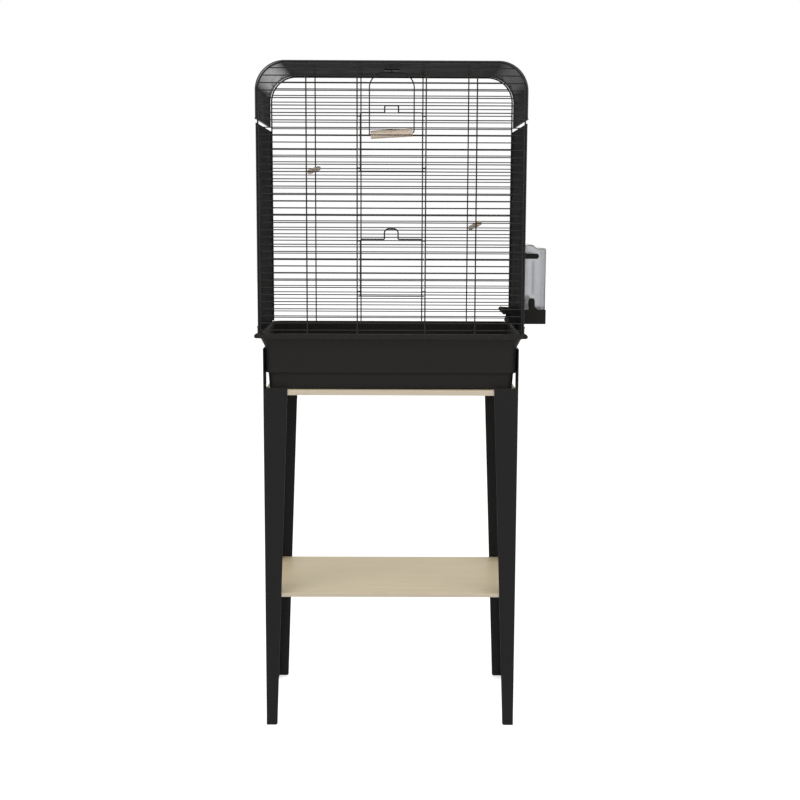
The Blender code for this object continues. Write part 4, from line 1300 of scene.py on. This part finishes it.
@dataclass
class Latches(Assembly):
    """Swing-out latches that hold the cage to its base."""

    half_width: float = 0.0080
    barrel: float = 0.0040
    pin: float = 0.0012
    pin_reach: float = 0.0103
    wall_x: float = 0.2523
    nib_x: float = 0.2517
    height: float = 0.0185
    lever: float = 0.0022
    edge: float = 0.0004

    def latch(self, corner: str) -> None:
        """Makes one latch: a lever with a nib on a barrel with two stub pins.

        Args:
            corner: Which corner it is at.
        """
        side_x, side_y = CORNERS[corner]
        pivot_x, pivot_y, pivot_z = LATCH
        wall, nib, edge = self.wall_x - pivot_x, self.nib_x - pivot_x, self.edge
        outer = wall + self.lever
        side = [
            (0.0005, -0.0005, 0.0),
            (wall, 0.0015, 0.0004),
            (wall, 0.0095, 0.0010),
            (nib, self.height - 0.0045, 0.0006),
            (nib, self.height - 0.0015, 0.0006),
            (wall + 0.0010, self.height, 0.0004),
            (outer + 0.0012, self.height + 0.0010, 0.0008),
            (outer, self.height - 0.0040, 0.0020),
            (outer, self.barrel, 0.0010),
        ]
        bm = bmesh.new()
        low = -self.half_width + GAP
        SheetBench.slab(bm, rounded(side, 4), Plane.XZ, low, -low)
        SheetBench.soften(bm, EASE, 50.0, 2)
        upper = [
            (0.0, self.pin_reach),
            (self.pin, self.pin_reach),
            (self.pin, self.half_width),
            (self.barrel - edge, self.half_width),
            (self.barrel, self.half_width - edge),
        ]
        SheetBench.turned(bm, spindle(upper), 28, Matrix.Rotation(math.pi / 2, 4, "X"))
        place = Matrix.Translation((side_x * pivot_x, side_y * pivot_y, pivot_z))
        mirror = Matrix.Diagonal((side_x, 1.0, 1.0, 1.0))
        bmesh.ops.transform(bm, matrix=place @ mirror, verts=bm.verts)
        node = f"latch_{corner}"
        self.shop.finish(bm, f"swing_{node}", Body(node), Slot.MOULDING, "moulded_black", node)

    def build(self) -> None:
        """Makes the four latches."""
        for corner in CORNERS:
            self.latch(corner)


@dataclass
class CageShell(Assembly):
    """The arched roof and the two side panels."""

    top: float = 1.2814
    roof_bottom: float = 1.1745
    overhang: float = 0.0008
    lip: float = 0.0008
    lip_height: float = 0.0040
    corner: float = 0.0550
    edge: float = 0.0004
    side_bottom: float = 0.7763
    side_top: float = 1.1680
    window_y: float = 0.0423
    window_low: float = 0.7867
    window_high: float = 0.8153

    def roof(self) -> None:
        """Makes the roof from one bent line pulled from front to rear."""
        half = PANEL_X + self.overhang
        lip, low = half + self.lip, self.roof_bottom
        left = [
            (-lip, low, 0.0),
            (-lip, low + self.lip_height / 2, 0.0),
            (-half, low + self.lip_height, 0.0),
            (-half, self.top, self.corner),
        ]
        bm = bmesh.new()
        line = rounded(mirrored(left), 28)
        verts = [bm.verts.new((x, -HALF_DEPTH, z)) for x, z in line]
        edges = [bm.edges.new(pair) for pair in zip(verts, verts[1:])]
        pulled = bmesh.ops.extrude_edge_only(bm, edges=edges)["geom"]
        bmesh.ops.translate(bm, vec=(0.0, 2 * HALF_DEPTH, 0.0), verts=pick(pulled, BMVert))
        bmesh.ops.recalc_face_normals(bm, faces=bm.faces)
        crown = max(bm.faces, key=lambda face: face.calc_center_median().z)
        if crown.normal.z < 0.0:
            bmesh.ops.reverse_faces(bm, faces=bm.faces)
        self.shop.finish(
            bm, "arched_roof", Body.CAGE, Slot.SHELL, "gloss_roof", "roof_shell", smooth=40.0,
            wall=SHEET, edge=self.edge, lining="roof_lining",
        )

    def side(self, way: Side) -> None:
        """Makes one side panel, with the feeder's window in the right one.

        Args:
            way: Which side it is on.
        """
        x, y = way.value * PANEL_X, HALF_DEPTH
        low, high = self.side_bottom, self.side_top
        bm = bmesh.new()
        corners = ((-y, low), (y, low), (y, high), (-y, high))
        bm.faces.new([bm.verts.new((x, across, up)) for across, up in corners])
        if way is Side.HIGH:
            for axis, level in (
                (1, -self.window_y), (1, self.window_y), (2, self.window_low), (2, self.window_high)
            ):
                SheetBench.split(bm, axis, level)
            window = [
                face
                for face in bm.faces
                if abs(face.calc_center_median().y) < self.window_y
                and self.window_low < face.calc_center_median().z < self.window_high
            ]
            bmesh.ops.delete(bm, geom=window, context="FACES")
        bm.faces.ensure_lookup_table()
        bm.normal_update()
        if bm.faces[0].normal.x * way.value < 0.0:
            bmesh.ops.reverse_faces(bm, faces=bm.faces)
        label = "left" if way is Side.LOW else "right"
        self.shop.finish(
            bm, f"side_wall_{label}", Body.CAGE, Slot.SHELL, "satin_side", f"side_panel_{label}",
            wall=SHEET, edge=self.edge, lining="side_lining",
        )

    def build(self) -> None:
        """Makes the roof and both side panels."""
        self.roof()
        for way in Side:
            self.side(way)


@dataclass
class Grille:
    """What the wire panels, the doors and the perches share: rows, posts and layers."""

    rows: int = 37
    top_row: float = 1.2676
    bottom_row: float = 0.7830
    row_radius: float = 0.0010
    post_radius: float = 0.0013
    frame_radius: float = 0.0015
    keeper_radius: float = 0.0008
    inner_post: float = 0.0638
    outer_post: float = 0.1581
    row_y: float = 0.1360
    post_y: float = 0.13804
    door_row_y: float = 0.1386
    door_frame_y: float = 0.14064
    keeper_y: float = 0.14314
    frame_half: float = 0.2476
    frame_top: float = 1.2776
    frame_round: float = 0.0512
    foot: float = 0.7763
    weld: float = 0.0012
    weld_slack: float = 0.0005

    def posts(self) -> tuple[float, ...]:
        """Where a panel's four posts stand."""
        return (-self.outer_post, -self.inner_post, self.inner_post, self.outer_post)

    def height(self, index: int) -> float:
        """The height of a row, counted from the top."""
        return self.top_row - index * (self.top_row - self.bottom_row) / (self.rows - 1)

    def row_end(self, height: float) -> float:
        """How far a row reaches to each side before it meets the frame wire.

        Args:
            height: The row's height.

        Returns:
            The distance from the middle.
        """
        above = max(height - (self.frame_top - self.frame_round), 0.0)
        inset = self.frame_half - self.frame_round
        return inset + math.sqrt(self.frame_round**2 - above**2) - self.frame_radius / 3


@dataclass
class DoorPlan:
    """Where a sliding door is, and the shape of its handle loop."""

    name: str
    body: Body
    first: int
    last: int
    drop: float
    grip_height: float
    grip_round: float


@dataclass
class WirePanels(Assembly):
    """The two welded panels and the two sliding doors of the front one."""

    grille: Grille = field(default_factory=Grille)
    doors: tuple[DoorPlan, ...] = (
        DoorPlan("upper_door", Body.UPPER_DOOR, 6, 14, 0.0, 0.0128, 0.0030),
        DoorPlan("lower_door", Body.LOWER_DOOR, 23, 31, 0.0035, 0.0195, 0.0080),
    )
    door_half: float = 0.0575
    door_corner: float = 0.0035
    door_reach: float = 0.0619
    grip_half: float = 0.01275
    keeper_bend: float = 0.0014
    keeper_margin: float = 0.0070
    keeper_raise: float = 0.0400
    keeper_reach: float = 0.0562
    weld_depth: float = 0.9

    def lay_row(
        self, bm: BMesh, low: float, high: float, y: float, z: float, crossings: Sequence[float]
    ) -> None:
        """Lays one row of wire with a bead at each wire that it crosses.

        Args:
            bm: The mesh that takes the row.
            low: Where it starts.
            high: Where it ends.
            y: Its layer.
            z: Its height.
            crossings: Where the wires that it may cross stand.
        """
        radius, slack = self.grille.row_radius, self.grille.weld_slack
        WireBench.straight(bm, (low, y, z), (high, y, z), radius)
        bead_y = y + math.copysign(radius * self.weld_depth, y)
        for x in crossings:
            if low - slack <= x <= high + slack:
                WireBench.weld(bm, (x, bead_y, z), self.grille.weld)

    def panel(self, way: Side) -> None:
        """Makes one panel: rows, posts and the frame wire that lines the roof.

        Args:
            way: Whether it is the front one or the rear one.
        """
        plan = self.grille
        front = way is Side.LOW
        row_y, post_y = way.value * plan.row_y, way.value * plan.post_y
        bm = bmesh.new()
        for index in range(plan.rows):
            z = plan.height(index)
            end = plan.row_end(z)
            parts = [(-end, end)]
            if front and any(door.first < index < door.last for door in self.doors):
                parts = [(-end, -plan.inner_post), (plan.inner_post, end)]
            for low, high in parts:
                self.lay_row(bm, low, high, row_y, z, plan.posts())
        for x in plan.posts():
            foot, top = (x, post_y, plan.foot), (x, post_y, plan.frame_top)
            WireBench.straight(bm, foot, top, plan.post_radius)
        half = plan.frame_half
        left = [(-half, plan.foot, 0.0), (-half, plan.frame_top, plan.frame_round)]
        path = [(x, row_y, z) for x, z in bent(mirrored(left), 24)]
        WireBench.follow(bm, path, plan.frame_radius, 14)
        if front:
            self.keepers(bm)
        label = "front" if front else "rear"
        self.shop.finish(
            bm, f"{label}_grille", Body.CAGE, Slot.WIRE, "coated_wire", f"{label}_wire_panel",
            smooth=50.0,
        )

    def keepers(self, bm: BMesh) -> None:
        """Lays the short hooks that hold the doors' side wires from in front.

        Args:
            bm: The mesh that takes them.
        """
        plan = self.grille
        for door in self.doors:
            top, bottom = plan.height(door.first), plan.height(door.last)
            margin = self.keeper_margin
            for z in (bottom + margin, top - margin, top + self.keeper_raise):
                for side in (-1, 1):
                    hook = [
                        (side * plan.inner_post, -plan.post_y, 0.0),
                        (side * plan.inner_post, -plan.keeper_y, self.keeper_bend),
                        (side * self.keeper_reach, -plan.keeper_y, 0.0),
                    ]
                    path = [(x, y, z) for x, y in bent(hook, 5)]
                    WireBench.follow(bm, path, plan.keeper_radius, 10)

    def door(self, door: DoorPlan) -> None:
        """Makes one door: its bent frame wire with the handle loop, and its rows.

        Args:
            door: Where it is and what its handle is like.
        """
        plan = self.grille
        top = plan.height(door.first) - door.drop
        bottom = plan.height(door.last) - door.drop
        left = [
            (-self.door_half, bottom, 0.0),
            (-self.door_half, top, self.door_corner),
            (-self.grip_half, top, self.door_corner / 2),
            (-self.grip_half, top + door.grip_height, door.grip_round),
        ]
        bm = bmesh.new()
        path = [(x, -plan.door_frame_y, z) for x, z in bent(mirrored(left), 8)]
        WireBench.follow(bm, path, plan.post_radius)
        heights = [plan.height(index) for index in range(door.first + 1, door.last)]
        sides = (-self.door_half, self.door_half)
        for z in (*heights, bottom + plan.row_radius):
            self.lay_row(bm, -self.door_reach, self.door_reach, -plan.door_row_y, z, sides)
        self.shop.finish(
            bm, f"sliding_{door.name}", door.body, Slot.WIRE, "coated_wire", door.name, smooth=50.0
        )

    def build(self) -> None:
        """Makes both panels and both doors."""
        for way in Side:
            self.panel(way)
        for door in self.doors:
            self.door(door)


@dataclass
class Swing(Assembly):
    """The swing: its hanger under the roof, its wire hoop and its dowel."""

    roof_under: float = 1.2794
    plate: float = 0.0020
    plate_half_x: float = 0.0150
    plate_half_y: float = 0.0060
    plate_round: float = 0.0020
    plate_edge: float = 0.0004
    ring: float = 0.0032
    ring_wire: float = 0.0010
    hoop_half: float = 0.04375
    hoop_wire: float = 0.0012
    foot_bend: float = 0.0024
    drop: float = 0.1160
    shoulder: float = 0.0280
    dowel: float = 0.0080
    tilt: float = math.radians(3.5)
    pin: float = 0.0090

    def ring_z(self) -> float:
        """The height of the hanger ring's middle."""
        return self.roof_under - GAP - self.plate - self.ring - self.ring_wire / 2

    def pivot_z(self) -> float:
        """The height of the hoop's top wire, which hangs in the ring."""
        return self.ring_z() - (self.ring - self.ring_wire - self.hoop_wire - GAP)

    def hanger(self) -> None:
        """Makes the small plate and its ring."""
        bm = bmesh.new()
        top = self.roof_under - GAP
        x, y, soft = self.plate_half_x, self.plate_half_y, self.plate_round
        corners = [(-x, -y, soft), (x, -y, soft), (x, y, soft), (-x, y, soft)]
        SheetBench.slab(bm, rounded(corners, 5), Plane.XY, top - self.plate, top)
        SheetBench.soften(bm, self.plate_edge, 50.0, 2)
        turns = [math.tau * step / 32 for step in range(32)]
        ring = [
            (0.0, self.ring * math.cos(turn), self.ring_z() + self.ring * math.sin(turn))
            for turn in turns
        ]
        WireBench.follow(bm, ring, self.ring_wire, closed=True)
        self.shop.finish(
            bm, "swing_eye", Body.CAGE, Slot.MOULDING, "moulded_black", "swing_hanger"
        )

    def hoop(self) -> None:
        """Makes the hoop, whose feet turn into the dowel's ends."""
        half, top = self.hoop_half, self.pivot_z()
        low = top - self.drop
        rise, pin_rise = half * math.tan(self.tilt), self.pin * math.tan(self.tilt)
        corners = [
            (-half + self.pin, low - rise + pin_rise, 0.0),
            (-half, low - rise, self.foot_bend),
            (-half, top, self.shoulder),
            (half, top, self.shoulder),
            (half, low + rise, self.foot_bend),
            (half - self.pin, low + rise - pin_rise, 0.0),
        ]
        bm = bmesh.new()
        WireBench.follow(bm, [(x, 0.0, z) for x, z in bent(corners, 14)], self.hoop_wire)
        self.shop.finish(
            bm, "swing_wire", Body.SWING, Slot.WIRE, "coated_wire", "swing_hoop", smooth=50.0
        )

    def bar(self) -> None:
        """Makes the swing's dowel with eased ends and a socket for each foot of the hoop."""
        half = (self.hoop_half - self.hoop_wire - GAP) / math.cos(self.tilt) - self.hoop_wire
        socket = self.hoop_wire + GAP
        deep = half - self.pin
        upper = [
            (0.0, deep),
            (socket, deep),
            (socket, half),
            (self.dowel - 0.0008, half),
            (self.dowel - 0.0002, half - 0.0003),
            (self.dowel, half - 0.0008),
        ]
        middle = Matrix.Translation((0.0, 0.0, self.pivot_z() - self.drop))
        turn = Matrix.Rotation(math.pi / 2 - self.tilt, 4, "Y")
        bm = bmesh.new()
        SheetBench.turned(bm, spindle(upper), 40, middle @ turn)
        self.shop.finish(
            bm, "swing_dowel", Body.SWING, Slot.DOWEL, "cross_dowel", "swing_perch", smooth=40.0
        )

    def build(self) -> None:
        """Makes the hanger, the hoop and the dowel."""
        self.hanger()
        self.hoop()
        self.bar()


@dataclass
class Perches(Assembly):
    """Two dowels from front to rear, notched over a row of each panel."""

    grille: Grille = field(default_factory=Grille)
    radius: float = 0.00475
    ease: float = 0.0005
    shelf: float = 0.0030

    def perch(self, label: str, post: float, row: int, rear_row: int) -> None:
        """Makes one dowel.

        Args:
            label: Which side it is on.
            post: Where the post beside it stands.
            row: The row of the front panel that it sits on.
            rear_row: The row of the rear panel that it sits on.
        """
        plan = self.grille
        front = Vector((0.0, -plan.row_y, plan.height(row)))
        rear = Vector((0.0, plan.row_y, plan.height(rear_row)))
        past = plan.post_y - plan.row_y
        x = post + plan.post_radius + GAP + self.radius
        middle = (front + rear) / 2 + Vector((x, 0.0, 0.0))
        half = (rear - front).length / 2 + past
        upper = [(0.0, half), (self.radius - self.ease, half), (self.radius, half - self.ease)]
        along = (rear - front).normalized()
        turn = Vector((0.0, 0.0, 1.0)).rotation_difference(along).to_matrix().to_4x4()
        bm = bmesh.new()
        SheetBench.turned(bm, spindle(upper), 32, Matrix.Translation(middle) @ turn)
        notches = bmesh.new()
        for spot, way in ((front, -1), (rear, 1)):
            inner = spot.y - way * (plan.row_radius + self.shelf)
            outer = spot.y + way * (past + self.shelf)
            size = (2 * self.radius, abs(outer - inner) / 2, plan.row_radius + GAP)
            place = Matrix.Translation((x, (inner + outer) / 2, spot.z))
            bmesh.ops.create_cube(notches, size=2.0, matrix=place @ Matrix.Diagonal((*size, 1.0)))
        self.shop.finish(
            bm, f"long_perch_{label}", Body.CAGE, Slot.DOWEL, "long_dowel", f"perch_{label}",
            cutter=notches,
        )

    def build(self) -> None:
        """Makes both perches."""
        self.perch("left", -self.grille.outer_post, 14, 13)
        self.perch("right", self.grille.outer_post, 21, 22)


@dataclass
class Feeder(Assembly):
    """The feeder on the right side: trough, clear hopper, clip and the bar before it."""

    half_y: float = 0.0420
    thick: float = 0.0020
    nose: float = 0.0204
    slant: float = 0.0087
    lip: float = 0.0100
    header: float = 0.0021
    trough_edge: float = 0.0006
    reach: float = 0.3036
    bottom: float = 0.7870
    top: float = 0.8150
    lug_x: float = 0.0242
    lug_round: float = 0.0061
    lug_rise: float = 0.0230
    arm_edge: float = 0.0020
    setback: float = 0.0014
    play: float = 0.0004
    hopper_top: float = 0.9353
    hopper_peak: float = 0.0075
    hopper_edge: float = 0.0015
    peak_x: float = 0.0225
    shoulder_x: float = 0.0315
    hopper_wall: float = 0.0018
    skirt: float = 0.0050
    skirt_in: float = 0.0026
    skirt_out: float = 0.0011
    clip_z: float = 0.9200
    clip_height: float = 0.0100
    clip_arm: float = 0.0370
    clip_thick: float = 0.0024
    bar_x: float = 0.2221
    bar_z: float = 0.8105
    bar_radius: float = 0.0045
    bar_neck: float = 0.0022
    bar_end: float = 0.0040
    bar_ease: float = 0.0015

    def trough(self) -> None:
        """Makes the trough with its lugs and the arms that carry the bar."""
        nose = PANEL_X - SHEET - self.nose
        outline = [
            (nose, self.bottom),
            (self.reach, self.bottom),
            (self.reach, self.top),
            (nose + self.slant, self.top),
        ]
        bm = bmesh.new()
        SheetBench.slab(bm, outline, Plane.XZ, -self.half_y, self.half_y)
        mouth = PANEL_X + self.setback + self.thick
        low, high = self.bottom + self.lip, self.top - self.header
        for axis, level in ((0, mouth), (2, low), (2, high)):
            SheetBench.split(bm, axis, level)
        bm.normal_update()
        holes = []
        for face in bm.faces:
            middle = face.calc_center_median()
            over = face.normal.z > 0.9 and middle.x > mouth
            if over or (face.normal.x < -0.5 and low < middle.z < high):
                holes.append(face)
        bmesh.ops.delete(bm, geom=holes, context="FACES")
        bmesh.ops.solidify(bm, geom=bm.faces, thickness=self.thick)
        SheetBench.soften(bm, self.trough_edge, 50.0)
        self.trough_lugs(bm, nose)
        self.shop.finish(
            bm, "seed_trough", Body.CAGE, Slot.MOULDING, "feeder_black", "feeder_trough"
        )

    def trough_lugs(self, bm: BMesh, nose: float) -> None:
        """Adds the two rounded lugs by the hopper and the two arms of the bar.

        Args:
            bm: The mesh that takes them.
            nose: Where the trough starts inside the cage.
        """
        x, size = PANEL_X + self.lug_x, self.lug_round
        lug = [
            (x - size, self.top - self.thick, 0.0),
            (x + 2 * size, self.top - self.thick, 0.0),
            (x + 2 * size, self.top + self.thick / 2, 0.0),
            (x + size, self.top + size, 0.004),
            (x + size, self.top + self.lug_rise, size * 0.9),
            (x - size, self.top + self.lug_rise, size * 0.9),
        ]
        high = self.bar_neck + self.arm_edge
        root = nose + self.slant + self.thick
        arm = [
            (self.bar_x - high, self.bar_z - high, high * 0.9),
            (root, self.bar_z - high, 0.0),
            (root, self.top - self.thick / 2, 0.0),
            (self.bar_x - high, self.bar_z + high, high * 0.9),
        ]
        near, far = self.half_y - self.thick + GAP, self.half_y - GAP
        for side in (-1, 1):
            for outline in (lug, arm):
                SheetBench.slab(bm, rounded(outline, 8), Plane.XZ, side * near, side * far)

    def hopper(self) -> None:
        """Makes the clear hopper, open below, with its foot inside the trough."""
        inner, outer = PANEL_X + self.setback, self.reach - self.setback
        low = self.top + GAP
        foot = low - self.skirt
        half = self.half_y - self.thick - self.play
        side = [
            (inner, low, 0.0),
            (inner + self.skirt_in, low, 0.0),
            (inner + self.skirt_in, foot - self.thick, 0.0),
            (outer - self.skirt_out, foot - self.thick, 0.0),
            (outer - self.skirt_out, low, 0.0),
            (outer, low, 0.0),
            (outer, self.hopper_top, 0.0025),
            (inner + self.shoulder_x, self.hopper_top, 0.0080),
            (inner + self.peak_x, self.hopper_top + self.hopper_peak, 0.0080),
            (inner, self.hopper_top + self.hopper_peak * 2 / 3, 0.0020),
        ]
        bm = bmesh.new()
        SheetBench.slab(bm, rounded(side, 6), Plane.XZ, -half, half)
        SheetBench.soften(bm, self.hopper_edge, 60.0, 4)
        SheetBench.split(bm, 2, foot, clear_below=True)
        self.shop.finish(
            bm, "clear_hopper", Body.HOPPER, Slot.CLEAR, "smoky_clear", "feeder_hopper",
            wall=self.hopper_wall,
        )

    def clip(self) -> None:
        """Makes the clip with an arm along each side of the hopper."""
        inner = PANEL_X + GAP
        back_x = inner + self.setback - 2 * GAP
        arm_x, arm_y = PANEL_X + self.clip_arm, self.half_y - self.thick
        outer = arm_y + self.clip_thick
        half_z = self.clip_height / 2
        low, high, nose = self.clip_z - half_z, self.clip_z + half_z, half_z * 0.95
        bm = bmesh.new()
        back = [(inner, low), (back_x, low), (back_x, high), (inner, high)]
        SheetBench.slab(bm, back, Plane.XZ, -outer, outer)
        arm = [(inner, low, 0.0), (arm_x, low, nose), (arm_x, high, nose), (inner, high, 0.0)]
        for side in (-1, 1):
            SheetBench.slab(bm, rounded(arm, 8), Plane.XZ, side * arm_y, side * outer)
        SheetBench.soften(bm, EASE, 50.0, 2)
        self.shop.finish(
            bm, "hopper_clip", Body.CAGE, Slot.MOULDING, "feeder_black", "feeder_clip"
        )

    def bar(self) -> None:
        """Makes the round bar that a bird stands on to feed."""
        arm_in, arm_out = self.half_y - self.thick - GAP, self.half_y + GAP
        end, soft = arm_out + self.bar_end, self.bar_ease
        upper = [
            (0.0, end),
            (self.bar_radius - soft, end),
            (self.bar_radius - soft * 0.3, end - soft * 0.3),
            (self.bar_radius, end - soft),
            (self.bar_radius, arm_out),
            (self.bar_neck, arm_out),
            (self.bar_neck, arm_in),
            (self.bar_radius, arm_in),
        ]
        bm = bmesh.new()
        place = Matrix.Translation((self.bar_x, 0.0, self.bar_z))
        SheetBench.turned(bm, spindle(upper), 40, place @ Matrix.Rotation(math.pi / 2, 4, "X"))
        self.shop.finish(
            bm, "feeding_bar", Body.CAGE, Slot.MOULDING, "feeder_black", "feeder_perch"
        )

    def build(self) -> None:
        """Makes the trough, the hopper, the clip and the bar."""
        self.trough()
        self.hopper()
        self.clip()
        self.bar()


@dataclass
class Studio:
    """The plain pale floor, the soft lights and the camera at the photograph's angle."""

    eye: Point = (-0.0162, -2.5000, 1.0172)
    heading: float = math.radians(0.296)
    pitch: float = math.radians(-7.620)
    roll: float = math.radians(0.216)
    lens: float = 56.54
    sensor: float = 36.0
    shift_y: float = -0.033
    sky: float = 0.65
    floor_colour: Colour = (0.86, 0.86, 0.86)
    floor_glow: float = 0.55
    floor_drop: float = 0.0005
    floor_half: float = 14.0

    def camera(self) -> None:
        """Places the camera."""
        data = bpy.data.cameras.new("photo_camera")
        data.lens = self.lens
        data.sensor_width = self.sensor
        data.shift_y = self.shift_y
        data.clip_end = 60.0
        heading, pitch, roll = self.heading, self.pitch, self.roll
        level = Vector((math.cos(heading), -math.sin(heading), 0.0))
        ahead = Vector((math.sin(heading), math.cos(heading), 0.0)) * math.cos(pitch)
        ahead.z = math.sin(pitch)
        rise = level.cross(ahead)
        right = level * math.cos(roll) + rise * math.sin(roll)
        up = rise * math.cos(roll) - level * math.sin(roll)
        item = add_object("photo_camera", data)
        turn = Matrix((right, up, -ahead)).transposed().to_4x4()
        item.matrix_world = Matrix.Translation(self.eye) @ turn
        bpy.context.scene.camera = item

    @staticmethod
    def seen_white(nodes: Nodes) -> NodeSocket:
        """A mask of the rays that see the background: from the camera, a gloss or clear plastic.

        Args:
            nodes: The tree's nodes.

        Returns:
            The mask.
        """
        rays = nodes.add("LightPath").outputs
        seen = nodes.math("MAXIMUM", rays["Is Camera Ray"], rays["Is Glossy Ray"])
        return nodes.math("MAXIMUM", seen, rays["Is Transmission Ray"])

    def world(self) -> None:
        """Sets an even pale sky that is seen as white."""
        world = bpy.data.worlds.new("pale_room")
        world.use_nodes = True
        nodes = Nodes(world.node_tree)
        strength = nodes.span(self.seen_white(nodes), 0.0, 1.0, self.sky, 1.0)
        background = world.node_tree.nodes["Background"]
        nodes.fill(background, Color=(1.0, 1.0, 1.0), Strength=strength)
        bpy.context.scene.world = world

    def floor(self) -> None:
        """Lays the floor, which is seen near white and keeps the shadow."""
        material = bpy.data.materials.new("pale_floor")
        material.use_nodes = True
        nodes = Nodes(material.node_tree)
        nodes.fill(
            material.node_tree.nodes["Principled BSDF"],
            Base_Color=self.floor_colour,
            Roughness=0.9,
            Specular_IOR_Level=0.0,
            Emission_Color=(1.0, 1.0, 1.0),
            Emission_Strength=nodes.product(self.seen_white(nodes), self.floor_glow),
        )
        bm = bmesh.new()
        bmesh.ops.create_grid(bm, x_segments=2, y_segments=2, size=self.floor_half)
        item = add_mesh("floor", bm)
        item.data.materials.append(material)
        item.location = (0.0, 0.0, -self.floor_drop)

    def lamp(self, name: str, place: Point, aim: Point, size: float, power: float) -> None:
        """Hangs one soft square light.

        Args:
            name: Its name.
            place: Where it hangs.
            aim: The point that it looks at.
            size: The length of its side.
            power: Its power in watts.
        """
        data = bpy.data.lights.new(name, "AREA")
        data.shape = "SQUARE"
        data.size = size
        data.energy = power
        turn = (Vector(place) - Vector(aim)).to_track_quat("Z", "Y").to_matrix().to_4x4()
        add_object(name, data).matrix_world = Matrix.Translation(place) @ turn

    def build(self) -> None:
        """Sets up the whole studio."""
        self.camera()
        self.world()
        self.floor()
        self.lamp("front_light", (0.3, -3.4, 1.5), (0.0, 0.0, 0.8), 2.0, 30.0)
        self.lamp("key_light", (-1.8, -1.9, 2.7), (0.0, 0.0, 0.7), 1.6, 22.0)
        self.lamp("fill_light", (2.2, -1.5, 1.8), (0.0, 0.0, 0.7), 1.6, 12.0)
        bpy.context.scene.view_settings.view_transform = "Standard"


def main() -> None:
    """Builds the studio and every piece, in order."""
    logging.basicConfig(level=logging.INFO, format="%(name)s: %(message)s")
    Studio().build()
    shop = Workshop()
    for kind in (Stand, BaseTub, Latches, CageShell, WirePanels, Swing, Perches, Feeder):
        kind(shop).build()
    LOG.info("%d pieces were made", shop.count)


if __name__ == "__main__":
    main()
